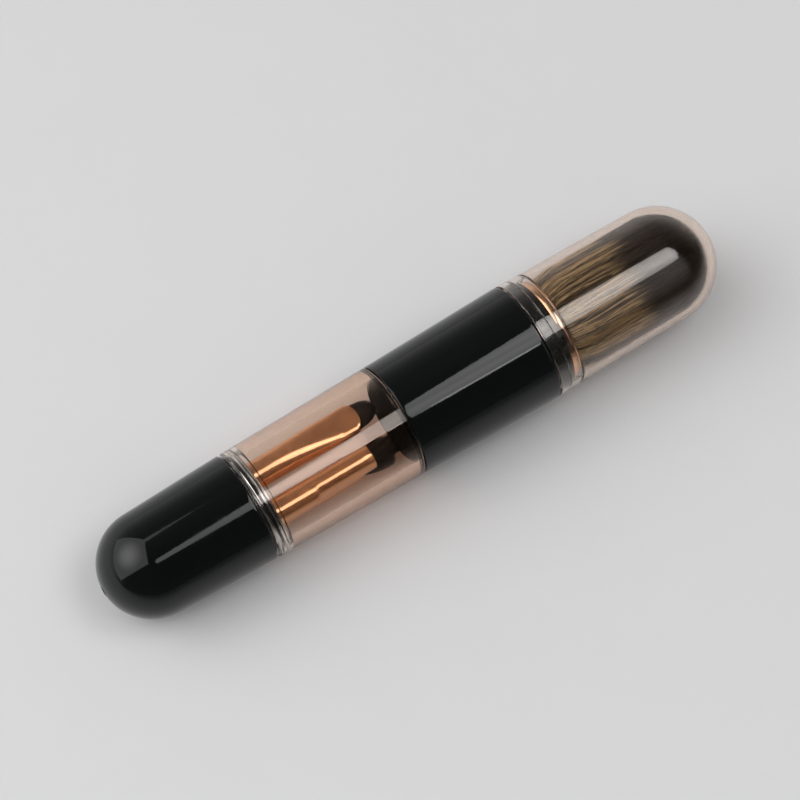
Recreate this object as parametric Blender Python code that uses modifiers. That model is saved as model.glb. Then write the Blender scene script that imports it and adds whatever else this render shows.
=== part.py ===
"""Portable makeup brush, four brushes in one domed tube.

A powder brush fills the clear dome cap on the right. Its gloss black handle tube is plugged at the left end,
where a clear chamber is fixed to it. A domed black base closes the chamber. A holder in the base carries three
small brushes that reach into the chamber: a flat eyeshadow brush, a lip brush and a round blending brush.

The brush lies on its side along X, with the base at -X. Every piece is modelled in a frame on the brush's axis,
whose local Z runs along the brush from the base's pole, and whose local X and Y are the world's Y and Z.
"""

import math

import bmesh
import bpy
from mathutils import Matrix

MM = 0.001

# Facets and clearances
SIDES = 36
SMALL_SIDES = 20
DOME_STEPS = 8
EDGE_STEPS = 2
MERGE = 0.001 * MM
SEAM = 0.3 * MM
FIT = 0.3 * MM
EDGE = 0.3 * MM
OVERRUN = 1.0 * MM
SHARP_ANGLE = math.radians(35)

# Lengths along the axis, from the base's pole to the dome cap's pole
BASE_LENGTH = 32.9 * MM
CHAMBER_LENGTH = 34.5 * MM
HANDLE_LENGTH = 32.0 * MM
COLLAR_LENGTH = 2.0 * MM
CAP_LENGTH = 42.4 * MM

# Outer radii, which the moulds' draft makes different at each end
BASE_DOME_RADIUS = 11.2 * MM
BASE_RIM_RADIUS = 11.85 * MM
CHAMBER_END_RADIUS = 12.35 * MM
HANDLE_RADIUS = 13.0 * MM
COLLAR_RADIUS = 12.95 * MM
CAP_RIM_RADIUS = 12.85 * MM
CAP_DOME_RADIUS = 12.5 * MM

# Walls
BASE_WALL = 1.4 * MM
CHAMBER_LIP_WALL = 0.85 * MM
SPIGOT_WALL = 1.2 * MM
HANDLE_WALL = 1.2 * MM
CAP_WALL = 1.3 * MM
CAP_LIP_WALL = 0.95 * MM
COLLAR_WALL = 0.65 * MM
COLLAR_EDGE = 0.15 * MM

# Base and holder
GATE_RADIUS = 1.0 * MM
GATE_DEPTH = 0.6 * MM
NECK_LENGTH = 3.25 * MM
NECK_CLEARANCE = 0.5 * MM
NECK_RECESS = 0.85 * MM
HOLDER_DEPTH = 20.4 * MM
SOCKET_FLOOR = 2.0 * MM

# Handle end: the chamber's spigot goes into the tube, and a cup-shaped plug closes it
SPIGOT_LENGTH = 5.5 * MM
PLUG_PROUD = 0.5 * MM
PLUG_LENGTH = 5.0 * MM
PLUG_FLOOR = 1.4 * MM
PLUG_WALL = 1.2 * MM

# Powder brush head
CORE_DEPTH = 13.0 * MM
CORE_WEB = 2.0 * MM
CORE_WALL = 1.2 * MM
CORE_FLANGE_RISE = 0.2 * MM
CAP_NECK_LENGTH = 1.35 * MM
CAP_NECK_CLEARANCE = 0.3 * MM
FERRULE_SOCKET_DEPTH = 8.0 * MM
FERRULE_SOCKET_WALL = 0.7 * MM
FERRULE_WALL = 0.5 * MM
FERRULE_LIP = 0.5 * MM
FERRULE_LIP_LENGTH = 1.55 * MM
FERRULE_LIP_EDGE = 0.2 * MM

# Powder hair
HAIR_STRANDS = 240
HAIR_SLICE = 1.4 * MM
HAIR_SLICE_RECESS = 0.5 * MM
HAIR_ROOT = 0.4 * MM
HAIR_RISE = 9.0 * MM
HAIR_CLEARANCE = 0.35 * MM
HAIR_ROOT_RADIUS = 0.30 * MM
HAIR_BELLY_RADIUS = 0.36 * MM
HAIR_TIP_RADIUS = 0.12 * MM
GOLDEN_ANGLE = math.pi * (3 - math.sqrt(5))

# Small brushes: what all three share
GRIP_EDGE = 0.8 * MM
GRIP_FOOT_GAP = 0.3 * MM
FERRULE_OVERLAP = 1.85 * MM
TENON_LENGTH = 5.0 * MM
MINI_FERRULE_WALL = 0.35 * MM
MINI_SLICE = 1.2 * MM
MINI_SLICE_RECESS = 1.8 * MM
MINI_ROOT = 0.3 * MM
MINI_ROOT_RADIUS = 0.14 * MM
MINI_BELLY_RADIUS = 0.17 * MM
MINI_TIP_RADIUS = 0.06 * MM

# Small brushes: each one's own sizes. angle places it round the axis, and roll turns the flat of its ferrule.
# socket_wall is what the holder's neck keeps outside its socket. The tube is pressed from taper_share of the way
# between the holder and its mouth. The tuft ends tip_gap short of the plug, spreads by flare, and bow rounds it.
EYESHADOW = {
    "name": "eyeshadow_brush",
    "angle": math.radians(27.3),
    "roll": math.radians(0),
    "radius": 3.0 * MM,
    "socket_wall": 2.56 * MM,
    "half_width": 3.3 * MM,
    "half_thickness": 1.25 * MM,
    "taper_share": 0.20,
    "tip_gap": 1.4 * MM,
    "tuft_length": 4.0 * MM,
    "flare": 0.1 * MM,
    "bow": 1.6 * MM,
    "row_counts": (8, 9, 8),
}
LIP = {
    "name": "lip_brush",
    "angle": math.radians(159.4),
    "roll": math.radians(65),
    "radius": 2.65 * MM,
    "socket_wall": 2.63 * MM,
    "half_width": 2.7 * MM,
    "half_thickness": 2.1 * MM,
    "taper_share": 0.35,
    "tip_gap": 1.8 * MM,
    "tuft_length": 6.0 * MM,
    "flare": 0.0 * MM,
    "bow": 0.5 * MM,
    "row_counts": (4, 5, 6, 5, 4),
}
BLENDING = {
    "name": "blending_brush",
    "angle": math.radians(234.2),
    "roll": math.radians(0),
    "radius": 2.8 * MM,
    "socket_wall": 1.71 * MM,
    "half_width": 2.6 * MM,
    "half_thickness": 2.6 * MM,
    "taper_share": 0.50,
    "tip_gap": 2.2 * MM,
    "tuft_length": 7.2 * MM,
    "flare": 2.2 * MM,
    "bow": 1.6 * MM,
    "row_counts": (3, 5, 6, 5, 3),
}
MINI_BRUSHES = (EYESHADOW, LIP, BLENDING)
FERRULE_SIDES = 20
FERRULE_RINGS = 7
ROW_EDGE_SHARE = 0.8

# Stations along the axis that follow from the lengths
CHAMBER_START = BASE_LENGTH + SEAM
CHAMBER_END = CHAMBER_START + CHAMBER_LENGTH
HANDLE_START = CHAMBER_END + SEAM
HANDLE_END = HANDLE_START + HANDLE_LENGTH
COLLAR_START = HANDLE_END + SEAM
COLLAR_END = COLLAR_START + COLLAR_LENGTH
CAP_START = COLLAR_END + SEAM
CAP_END = CAP_START + CAP_LENGTH
NECK_END = BASE_LENGTH + NECK_LENGTH
CHAMBER_STEP = NECK_END + NECK_RECESS
CORE_NECK_END = COLLAR_END + CAP_NECK_LENGTH
FERRULE_LIP_START = CORE_NECK_END + SEAM
FERRULE_END = FERRULE_LIP_START + FERRULE_LIP_LENGTH
PLUG_START = CHAMBER_END - PLUG_PROUD
DOME_CENTRE = CAP_END - CAP_DOME_RADIUS

# Radii that follow from the outer radii, walls and clearances
CHAMBER_LIP_RADIUS = BASE_RIM_RADIUS - CHAMBER_LIP_WALL
NECK_RADIUS = CHAMBER_LIP_RADIUS - NECK_CLEARANCE
HANDLE_BORE_START = CHAMBER_END_RADIUS - HANDLE_WALL
HANDLE_BORE_END = HANDLE_RADIUS - HANDLE_WALL
SPIGOT_RADIUS = HANDLE_BORE_START - FIT
SPIGOT_BORE = SPIGOT_RADIUS - SPIGOT_WALL
PLUG_RADIUS = SPIGOT_BORE - FIT
CAP_LIP_RADIUS = CAP_RIM_RADIUS - CAP_LIP_WALL
CORE_NECK_RADIUS = CAP_LIP_RADIUS - CAP_NECK_CLEARANCE
CORE_FLANGE_RADIUS = HANDLE_BORE_END + CORE_FLANGE_RISE
COLLAR_BORE = COLLAR_RADIUS - COLLAR_WALL
FERRULE_SOCKET_RADIUS = CORE_NECK_RADIUS - FERRULE_SOCKET_WALL
FERRULE_RADIUS = FERRULE_SOCKET_RADIUS - FIT
FERRULE_BORE = FERRULE_RADIUS - FERRULE_WALL
HAIR_SLICE_RADIUS = FERRULE_BORE - FIT
CAP_DOME_BORE = CAP_DOME_RADIUS - CAP_WALL
AXIS_HEIGHT = HANDLE_RADIUS * math.cos(math.pi / SIDES)

# Linear colours, roughness and metallic value of each material
LOOKS = {
    "gloss_black_plastic": ((0.006, 0.007, 0.007, 1.0), 0.12, 0.0),
    "smoked_clear_plastic": ((0.48, 0.34, 0.26, 0.35), 0.08, 0.0),
    "rose_gold_metal": ((0.76, 0.40, 0.22, 1.0), 0.22, 1.0),
    "powder_hair": ((0.16, 0.10, 0.06, 1.0), 0.6, 0.0),
    "dark_hair": ((0.02, 0.013, 0.009, 1.0), 0.6, 0.0),
}


def clear_scene():
    for old in list(bpy.data.objects):
        bpy.data.objects.remove(old)


def new_collection(name):
    group = bpy.data.collections.new(name)
    bpy.context.scene.collection.children.link(group)
    return group


def make_materials():
    made = {}
    for name, (colour, roughness, metallic) in LOOKS.items():
        look = bpy.data.materials.new(name)
        look.use_nodes = True
        shader = look.node_tree.nodes["Principled BSDF"]
        shader.inputs["Base Color"].default_value = colour
        shader.inputs["Alpha"].default_value = colour[3]
        shader.inputs["Roughness"].default_value = roughness
        shader.inputs["Metallic"].default_value = metallic
        made[name] = look
    return made


def between(start, end, share):
    return start + (end - start) * share


def line_at(station, start, end):
    """The radius at a station of the straight line from start to end, each a (station, radius) pair."""
    return between(start[1], end[1], (station - start[0]) / (end[0] - start[0]))


def arc(centre, radius, start, end, steps):
    """Points of an arc about a (station, radius) centre. Angle 0 points along the axis and a quarter turn out."""
    points = []
    for step in range(steps + 1):
        angle = between(start, end, step / steps)
        points.append((centre[0] + radius * math.cos(angle), centre[1] + radius * math.sin(angle)))
    return points


def rounded(before, corner, after, radius, steps=EDGE_STEPS):
    """The corner between two neighbours as an arc that is tangent to both sides."""
    arms = []
    for other in (before, after):
        offset = (other[0] - corner[0], other[1] - corner[1])
        length = math.hypot(*offset)
        arms.append((offset[0] / length, offset[1] / length))
    first, second = arms
    half = math.acos(first[0] * second[0] + first[1] * second[1]) / 2
    reach = radius / math.tan(half)
    middle = (first[0] + second[0], first[1] + second[1])
    scale = radius / math.sin(half) / math.hypot(*middle)
    centre = (corner[0] + middle[0] * scale, corner[1] + middle[1] * scale)
    ends = [(corner[0] + arm[0] * reach, corner[1] + arm[1] * reach) for arm in arms]
    angles = [math.atan2(end[1] - centre[1], end[0] - centre[0]) for end in ends]
    turn = (angles[1] - angles[0] + math.pi) % (2 * math.pi) - math.pi
    return arc(centre, radius, angles[0], angles[0] + turn, steps)


def outline(*corners):
    """A closed outline from corners that are (station, radius), or (station, radius, fillet) where it is rounded."""
    points = []
    for index, corner in enumerate(corners):
        before = corners[index - 1]
        after = corners[(index + 1) % len(corners)]
        if len(corner) == 3:
            points += rounded(before, corner, after, corner[2])
        else:
            points.append(corner)
    return points


def place(name, mesh, group, parent, look):
    piece = bpy.data.objects.new(name, mesh)
    group.objects.link(piece)
    piece.parent = parent
    if look:
        mesh.materials.clear()
        mesh.materials.append(look)
    return piece


def shade_round(mesh):
    mesh.shade_smooth()
    mesh.set_sharp_from_angle(angle=SHARP_ANGLE)


def evaluated_mesh(piece):
    """The piece's mesh with its modifiers applied, as new mesh data."""
    bpy.context.view_layer.update()
    return bpy.data.meshes.new_from_object(piece.evaluated_get(bpy.context.evaluated_depsgraph_get()))


def turned(name, points, group, parent, look, sides=SIDES):
    """A turned solid. points run along the outside from left to right and back along the inside."""
    profile = bpy.data.meshes.new(name)
    corners = [(radius, 0, station) for station, radius in reversed(points)]
    links = [(index, (index + 1) % len(corners)) for index in range(len(corners))]
    profile.from_pydata(corners, links, [])
    piece = place(name, profile, group, parent, None)
    screw = piece.modifiers.new("Turn", "SCREW")
    screw.steps = sides
    screw.render_steps = sides
    screw.use_merge_vertices = True
    screw.merge_threshold = MERGE
    piece.data = evaluated_mesh(piece)
    piece.modifiers.clear()
    bpy.data.meshes.remove(profile)
    shade_round(piece.data)
    piece.data.materials.append(look)
    # A facet faces the table, so that the brush lies on a flat and not on a corner.
    piece.rotation_euler.z = math.pi / sides
    return piece


def solid_outline(*corners):
    """An outline that starts and ends on the axis."""
    return outline((corners[0][0], 0), *corners, (corners[-1][0], 0))


def loft(name, rings, group, parent, look):
    """A closed band of rings that have the same number of points, joined last to first."""
    shape = bmesh.new()
    made = [[shape.verts.new(point) for point in ring] for ring in rings]
    for index, ring in enumerate(made):
        other = made[(index + 1) % len(made)]
        for side in range(len(ring)):
            after = (side + 1) % len(ring)
            shape.faces.new((ring[side], ring[after], other[after], other[side]))
    bmesh.ops.recalc_face_normals(shape, faces=shape.faces)
    mesh = bpy.data.meshes.new(name)
    shape.to_mesh(mesh)
    shape.free()
    shade_round(mesh)
    return place(name, mesh, group, parent, look)


def base_outer_line():
    return (BASE_DOME_RADIUS, BASE_DOME_RADIUS), (BASE_LENGTH, BASE_RIM_RADIUS)


def base_bore(station):
    """The base's inner radius, which runs parallel to its outside."""
    return line_at(station, *base_outer_line()) - BASE_WALL


def make_base_cap(group, frame, looks):
    """Domed black shell, open at the chamber end, with the small round mark of the mould's gate at its pole."""
    centre = (BASE_DOME_RADIUS, 0)
    gate = [(GATE_DEPTH, 0), (GATE_DEPTH, GATE_RADIUS)]
    gate_rim = math.pi - math.asin(GATE_RADIUS / BASE_DOME_RADIUS)
    outside = arc(centre, BASE_DOME_RADIUS, gate_rim, math.pi / 2, DOME_STEPS)
    inside = arc(centre, BASE_DOME_RADIUS - BASE_WALL, math.pi / 2, math.pi, DOME_STEPS)
    rim_bore = (BASE_LENGTH, base_bore(BASE_LENGTH))
    rim = rounded(outside[-1], (BASE_LENGTH, BASE_RIM_RADIUS), rim_bore, EDGE)
    points = gate + outside + rim + [rim_bore] + inside
    return turned("base_cap", points, group, frame, looks["gloss_black_plastic"])


def seat_of(mini):
    """Where a small brush's axis crosses the holder, in the local X and Y of the brush's frame."""
    reach = NECK_RADIUS - mini["socket_wall"] - mini["radius"] - FIT
    return reach * math.cos(mini["angle"]), reach * math.sin(mini["angle"])


def make_brush_holder(group, cutters, frame, looks):
    """Plug in the base with the neck that the chamber's mouth goes over, and a blind socket for each small brush."""
    start = BASE_LENGTH - HOLDER_DEPTH
    body = solid_outline(
        (start, base_bore(start) - FIT, EDGE),
        (BASE_LENGTH - EDGE, base_bore(BASE_LENGTH - EDGE) - FIT),
        (BASE_LENGTH + SEAM, base_bore(BASE_LENGTH) - FIT),
        (BASE_LENGTH + SEAM, NECK_RADIUS),
        (NECK_END, NECK_RADIUS, EDGE),
    )
    holder = turned("brush_holder", body, group, frame, looks["gloss_black_plastic"])
    floor = start + SOCKET_FLOOR
    for mini in MINI_BRUSHES:
        radius = mini["radius"] + FIT
        hole = solid_outline((floor, radius), (NECK_END + OVERRUN, radius))
        cutter = turned(mini["name"] + "_socket", hole, cutters, frame, None, SMALL_SIDES)
        cutter.location.x, cutter.location.y = seat_of(mini)
        cutter.hide_render = True
        cutter.display_type = "WIRE"
        cut = holder.modifiers.new(mini["name"], "BOOLEAN")
        cut.operation = "DIFFERENCE"
        cut.solver = "EXACT"
        cut.object = cutter
    return holder


def make_chamber(group, frame, looks):
    """Clear tube with one straight bore, a wide mouth for the holder's neck, and a spigot for the handle."""
    outer = (CHAMBER_START, BASE_RIM_RADIUS), (CHAMBER_END, CHAMBER_END_RADIUS)
    spigot_end = CHAMBER_END + SPIGOT_LENGTH
    points = outline(
        (*outer[0], EDGE),
        (*outer[1], EDGE),
        (CHAMBER_END, SPIGOT_RADIUS),
        (spigot_end, SPIGOT_RADIUS),
        (spigot_end, SPIGOT_BORE),
        (CHAMBER_STEP, SPIGOT_BORE),
        (CHAMBER_STEP, CHAMBER_LIP_RADIUS),
        (CHAMBER_START, CHAMBER_LIP_RADIUS),
    )
    return turned("chamber_tube", points, group, frame, looks["smoked_clear_plastic"])


def make_handle_plug(group, frame, looks):
    """Black cup that closes the handle. Its floor is the disc seen at the end of the chamber."""
    end = PLUG_START + PLUG_LENGTH
    bore = PLUG_RADIUS - PLUG_WALL
    points = outline(
        (PLUG_START, 0),
        (PLUG_START, PLUG_RADIUS, EDGE),
        (end, PLUG_RADIUS),
        (end, bore),
        (PLUG_START + PLUG_FLOOR, bore),
        (PLUG_START + PLUG_FLOOR, 0),
    )
    return turned("handle_plug", points, group, frame, looks["gloss_black_plastic"])


def make_handle_tube(group, frame, looks):
    """Gloss black grip, a drafted tube that widens towards the powder brush."""
    points = outline(
        (HANDLE_START, CHAMBER_END_RADIUS, EDGE),
        (HANDLE_END, HANDLE_RADIUS, EDGE),
        (HANDLE_END, HANDLE_BORE_END),
        (HANDLE_START, HANDLE_BORE_START),
    )
    return turned("handle_tube", points, group, frame, looks["gloss_black_plastic"])


def make_brush_core(group, frame, looks):
    """Black insert in the handle's end: a skirt, a web, a flange at the collar and the neck the cap pushes onto."""
    bore = (HANDLE_START, HANDLE_BORE_START), (HANDLE_END, HANDLE_BORE_END)
    start = HANDLE_END - CORE_DEPTH
    socket_floor = FERRULE_LIP_START - FERRULE_SOCKET_DEPTH
    skirt_bore = line_at(start, *bore) - FIT - CORE_WALL
    points = outline(
        (start, line_at(start, *bore) - FIT, EDGE),
        (HANDLE_END, HANDLE_BORE_END - FIT),
        (COLLAR_START, HANDLE_BORE_END - FIT),
        (COLLAR_START, CORE_FLANGE_RADIUS),
        (COLLAR_END, CORE_FLANGE_RADIUS),
        (COLLAR_END, CORE_NECK_RADIUS),
        (CORE_NECK_END, CORE_NECK_RADIUS, EDGE),
        (CORE_NECK_END, FERRULE_SOCKET_RADIUS),
        (socket_floor, FERRULE_SOCKET_RADIUS),
        (socket_floor, 0),
        (socket_floor - CORE_WEB, 0),
        (socket_floor - CORE_WEB, skirt_bore),
        (start, skirt_bore),
    )
    return turned("brush_core", points, group, frame, looks["gloss_black_plastic"])


def make_collar_ring(group, frame, looks):
    """Clear band between the handle and the cap, held on the core's flange."""
    points = outline(
        (COLLAR_START, COLLAR_RADIUS, COLLAR_EDGE),
        (COLLAR_END, COLLAR_RADIUS, COLLAR_EDGE),
        (COLLAR_END, COLLAR_BORE),
        (COLLAR_START, COLLAR_BORE),
    )
    return turned("collar_ring", points, group, frame, looks["smoked_clear_plastic"])


def make_powder_ferrule(group, frame, looks):
    """Rose gold tube in the core's socket, with a raised lip that rests on the neck."""
    start = FERRULE_LIP_START - FERRULE_SOCKET_DEPTH + FIT
    lip = FERRULE_RADIUS + FERRULE_LIP
    points = outline(
        (start, FERRULE_RADIUS),
        (FERRULE_LIP_START, FERRULE_RADIUS),
        (FERRULE_LIP_START, lip, FERRULE_LIP_EDGE),
        (FERRULE_END, lip, FERRULE_LIP_EDGE),
        (FERRULE_END, FERRULE_BORE),
        (start, FERRULE_BORE),
    )
    return turned("powder_ferrule", points, group, frame, looks["rose_gold_metal"])


def make_dome_cap(group, frame, looks):
    """Clear push-on cap: a drafted tube with a round end, counterbored at the mouth for the core's neck."""
    outer = (CAP_START, CAP_RIM_RADIUS), (DOME_CENTRE, CAP_DOME_RADIUS)
    centre = (DOME_CENTRE, 0)
    outside = arc(centre, CAP_DOME_RADIUS, math.pi / 2, 0, DOME_STEPS)
    inside = arc(centre, CAP_DOME_BORE, 0, math.pi / 2, DOME_STEPS)
    mouth = (CAP_START, CAP_LIP_RADIUS)
    step = (FERRULE_END, CAP_LIP_RADIUS)
    shoulder = (FERRULE_END, line_at(FERRULE_END, *outer) - CAP_WALL)
    rim = rounded(mouth, outer[0], outside[0], EDGE)
    points = rim + outside + inside + [shoulder, step, mouth]
    return turned("dome_cap", points, group, frame, looks["smoked_clear_plastic"])


def strand_mesh(paths):
    """Four-sided strands, one poly spline each, as one mesh. A path is a list of (place, radius)."""
    curve = bpy.data.curves.new("strands", "CURVE")
    curve.dimensions = "3D"
    curve.bevel_depth = 1
    curve.bevel_resolution = 0
    curve.use_fill_caps = True
    for path in paths:
        spline = curve.splines.new("POLY")
        spline.points.add(len(path) - 1)
        for point, (spot, radius) in zip(spline.points, path):
            point.co = (*spot, 1)
            point.radius = radius
    holder = bpy.data.objects.new("strands", curve)
    bpy.context.scene.collection.objects.link(holder)
    mesh = evaluated_mesh(holder)
    bpy.data.objects.remove(holder)
    shape = bmesh.new()
    shape.from_mesh(mesh)
    bmesh.ops.remove_doubles(shape, verts=shape.verts, dist=MERGE)
    shape.to_mesh(mesh)
    shape.free()
    return mesh


def fuse(piece, strands):
    """Joins the strands to the slice of backing that their roots are sunk into."""
    roots = bpy.data.objects.new(piece.name + "_strands", strands)
    bpy.context.scene.collection.objects.link(roots)
    roots.parent = piece.parent
    join = piece.modifiers.new("Strands", "BOOLEAN")
    join.operation = "UNION"
    join.solver = "EXACT"
    join.object = roots
    piece.data = evaluated_mesh(piece)
    piece.modifiers.clear()
    bpy.data.objects.remove(roots)


def make_powder_hair(group, frame, looks):
    """Domed head of strands on a slice of the glued root, spread like a sunflower's seeds so that none cross."""
    face = FERRULE_END - HAIR_SLICE_RECESS
    slice_outline = solid_outline((face - HAIR_SLICE, HAIR_SLICE_RADIUS), (face, HAIR_SLICE_RADIUS))
    hair = turned("powder_hair", slice_outline, group, frame, looks["powder_hair"])
    bore = (CAP_START, CAP_RIM_RADIUS - CAP_WALL), (DOME_CENTRE, CAP_DOME_BORE)
    belly = face + HAIR_RISE
    root_reach = HAIR_SLICE_RADIUS - HAIR_ROOT_RADIUS - MERGE
    belly_reach = line_at(belly, *bore) - HAIR_CLEARANCE - HAIR_BELLY_RADIUS
    dome = CAP_DOME_BORE - HAIR_CLEARANCE - HAIR_TIP_RADIUS
    paths = []
    for index in range(HAIR_STRANDS):
        share = math.sqrt((index + 0.5) / HAIR_STRANDS)
        angle = index * GOLDEN_ANGLE
        across = (math.cos(angle), math.sin(angle))
        tip_reach = dome * share
        tip = DOME_CENTRE + math.sqrt(dome**2 - tip_reach**2)
        path = []
        for reach, station, radius in (
            (root_reach * share, face - HAIR_ROOT, HAIR_ROOT_RADIUS),
            (belly_reach * share, belly, HAIR_BELLY_RADIUS),
            (tip_reach, tip, HAIR_TIP_RADIUS),
        ):
            path.append(((reach * across[0], reach * across[1], station), radius))
        paths.append(path)
    fuse(hair, strand_mesh(paths))
    return hair


def mini_stations(mini):
    """Stations of a small brush: the foot of its grip, the ferrule's start and mouth, and the tuft's tip."""
    foot = BASE_LENGTH - HOLDER_DEPTH + SOCKET_FLOOR + GRIP_FOOT_GAP
    start = NECK_END - FERRULE_OVERLAP
    tip = PLUG_START - mini["tip_gap"]
    return foot, start, tip - mini["tuft_length"], tip


def mini_frame(mini, group, frame):
    """An empty on the small brush's own axis, rolled so that the flat of its ferrule faces along local Y."""
    empty = bpy.data.objects.new(mini["name"] + "_frame", None)
    group.objects.link(empty)
    empty.parent = frame
    empty.location.x, empty.location.y = seat_of(mini)
    empty.rotation_euler.z = mini["roll"]
    return empty


def make_mini_grip(mini, group, frame, looks):
    """Black grip that stands in the holder's socket, with a tenon for the ferrule."""
    foot, start, _, _ = mini_stations(mini)
    tenon = mini["radius"] - MINI_FERRULE_WALL - FIT
    points = solid_outline(
        (foot, mini["radius"], GRIP_EDGE),
        (start - SEAM, mini["radius"]),
        (start - SEAM, tenon),
        (start + TENON_LENGTH, tenon, EDGE),
    )
    return turned(mini["name"] + "_grip", points, group, frame, looks["gloss_black_plastic"], SMALL_SIDES)


def oval(half_width, half_thickness, station, bow=0.0):
    """A ring of the ferrule. bow draws its sides back, for a mouth that is cut round."""
    ring = []
    for side in range(FERRULE_SIDES):
        angle = 2 * math.pi * (side + 0.5) / FERRULE_SIDES
        across = math.cos(angle)
        ring.append((half_width * across, half_thickness * math.sin(angle), station - bow * across**2))
    return ring


def make_mini_ferrule(mini, group, frame, looks):
    """Rose gold tube, round at the grip and pressed to its mouth's section, with an even wall."""
    _, start, mouth, _ = mini_stations(mini)
    pressed = between(NECK_END, mouth, mini["taper_share"])
    outside = []
    inside = []
    for step in range(FERRULE_RINGS + 1):
        along = step / FERRULE_RINGS
        ease = along * along * (3 - 2 * along)
        width = between(mini["radius"], mini["half_width"], ease)
        thickness = between(mini["radius"], mini["half_thickness"], ease)
        station = between(pressed, mouth, along)
        bow = mini["bow"] * along**2
        outside.append(oval(width, thickness, station, bow))
        inside.append(oval(width - MINI_FERRULE_WALL, thickness - MINI_FERRULE_WALL, station, bow))
    round_outside = oval(mini["radius"], mini["radius"], start)
    bore = mini["radius"] - MINI_FERRULE_WALL
    round_inside = oval(bore, bore, start)
    rings = [round_outside, *outside, *reversed(inside), round_inside]
    return loft(mini["name"] + "_ferrule", rings, group, frame, looks["rose_gold_metal"])


def row_places(counts):
    """Places in a unit disc, in rows: (across, up) pairs, with counts[i] of them in row i."""
    places = []
    for row, count in enumerate(counts):
        up = ROW_EDGE_SHARE * (2 * row / (len(counts) - 1) - 1)
        edge = ROW_EDGE_SHARE * math.sqrt(1 - up**2)
        for index in range(count):
            places.append((edge * (2 * index / (count - 1) - 1), up))
    return places


def make_mini_tuft(mini, group, frame, looks):
    """Small tuft: strands in rows on a slice of backing inside the ferrule's mouth."""
    _, _, mouth, tip = mini_stations(mini)
    face = mouth - MINI_SLICE_RECESS
    inset = MINI_FERRULE_WALL + FIT
    width = mini["half_width"] - inset
    thickness = mini["half_thickness"] - inset
    disc = solid_outline((face - MINI_SLICE, 1), (face, 1))
    tuft = turned(mini["name"] + "_tuft", disc, group, frame, looks["dark_hair"], SMALL_SIDES)
    tuft.rotation_euler.z = 0
    tuft.data.transform(Matrix.Diagonal((width, thickness, 1, 1)))
    paths = []
    for across, up in row_places(mini["row_counts"]):
        spot = (across * width, up * thickness)
        spread = (across * (width + mini["flare"]), up * (thickness + mini["flare"]))
        end = tip - MINI_TIP_RADIUS - mini["bow"] * across**2
        paths.append([
            ((*spot, face - MINI_ROOT), MINI_ROOT_RADIUS),
            ((*spot, mouth), MINI_BELLY_RADIUS),
            ((*spread, end), MINI_TIP_RADIUS),
        ])
    fuse(tuft, strand_mesh(paths))
    return tuft


def main():
    clear_scene()
    parts = new_collection("portable_makeup_brush")
    cutters = new_collection("cutters")
    looks = make_materials()
    frame = bpy.data.objects.new("brush_frame", None)
    parts.objects.link(frame)
    frame.location = (-CAP_END / 2, 0, AXIS_HEIGHT)
    frame.rotation_euler = (math.pi / 2, 0, math.pi / 2)
    make_base_cap(parts, frame, looks)
    make_brush_holder(parts, cutters, frame, looks)
    make_chamber(parts, frame, looks)
    make_handle_plug(parts, frame, looks)
    make_handle_tube(parts, frame, looks)
    make_brush_core(parts, frame, looks)
    make_collar_ring(parts, frame, looks)
    make_powder_ferrule(parts, frame, looks)
    make_powder_hair(parts, frame, looks)
    make_dome_cap(parts, frame, looks)
    for mini in MINI_BRUSHES:
        seat = mini_frame(mini, parts, frame)
        make_mini_grip(mini, parts, seat, looks)
        make_mini_ferrule(mini, parts, seat, looks)
        make_mini_tuft(mini, parts, seat, looks)


if __name__ == "__main__":
    main()
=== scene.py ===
"""Looks of the portable makeup brush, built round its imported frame.

Every piece is made in metres where the frame has it: the brush lies along X, with the black base at -X.
Stations are measured along the brush's axis from the base's pole.
"""

import math

import bmesh
import bpy
import numpy as np
from bpy.props import FloatProperty, FloatVectorProperty, IntProperty, PointerProperty
from mathutils import Matrix, Vector


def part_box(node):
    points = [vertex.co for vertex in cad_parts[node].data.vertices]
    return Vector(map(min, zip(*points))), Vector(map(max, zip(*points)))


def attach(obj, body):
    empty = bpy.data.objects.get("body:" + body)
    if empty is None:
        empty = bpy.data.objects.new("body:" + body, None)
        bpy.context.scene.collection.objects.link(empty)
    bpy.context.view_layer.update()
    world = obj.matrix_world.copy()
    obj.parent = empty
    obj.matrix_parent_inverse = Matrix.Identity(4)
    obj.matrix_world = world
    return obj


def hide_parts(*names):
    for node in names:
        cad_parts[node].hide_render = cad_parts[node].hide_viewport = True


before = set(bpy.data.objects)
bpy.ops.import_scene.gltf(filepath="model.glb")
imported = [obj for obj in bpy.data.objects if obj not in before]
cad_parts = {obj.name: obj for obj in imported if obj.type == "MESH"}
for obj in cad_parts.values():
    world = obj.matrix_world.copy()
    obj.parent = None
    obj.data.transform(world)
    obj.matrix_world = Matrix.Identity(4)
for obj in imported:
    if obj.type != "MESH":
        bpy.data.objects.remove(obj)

bl_info = {
    "name": "Portable makeup brush",
    "version": (1, 0, 0),
    "blender": (4, 5, 0),
    "location": "View3D > Sidebar > Brush",
    "description": "Shells, small brushes, powder hair and stage of a portable makeup brush",
    "category": "Object",
}

MM = 0.001

# Where the frame holds the brush
AXIS_HEIGHT = sum(corner.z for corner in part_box("handle_tube")) / 2
BASE_POLE = -72.5 * MM

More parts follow.
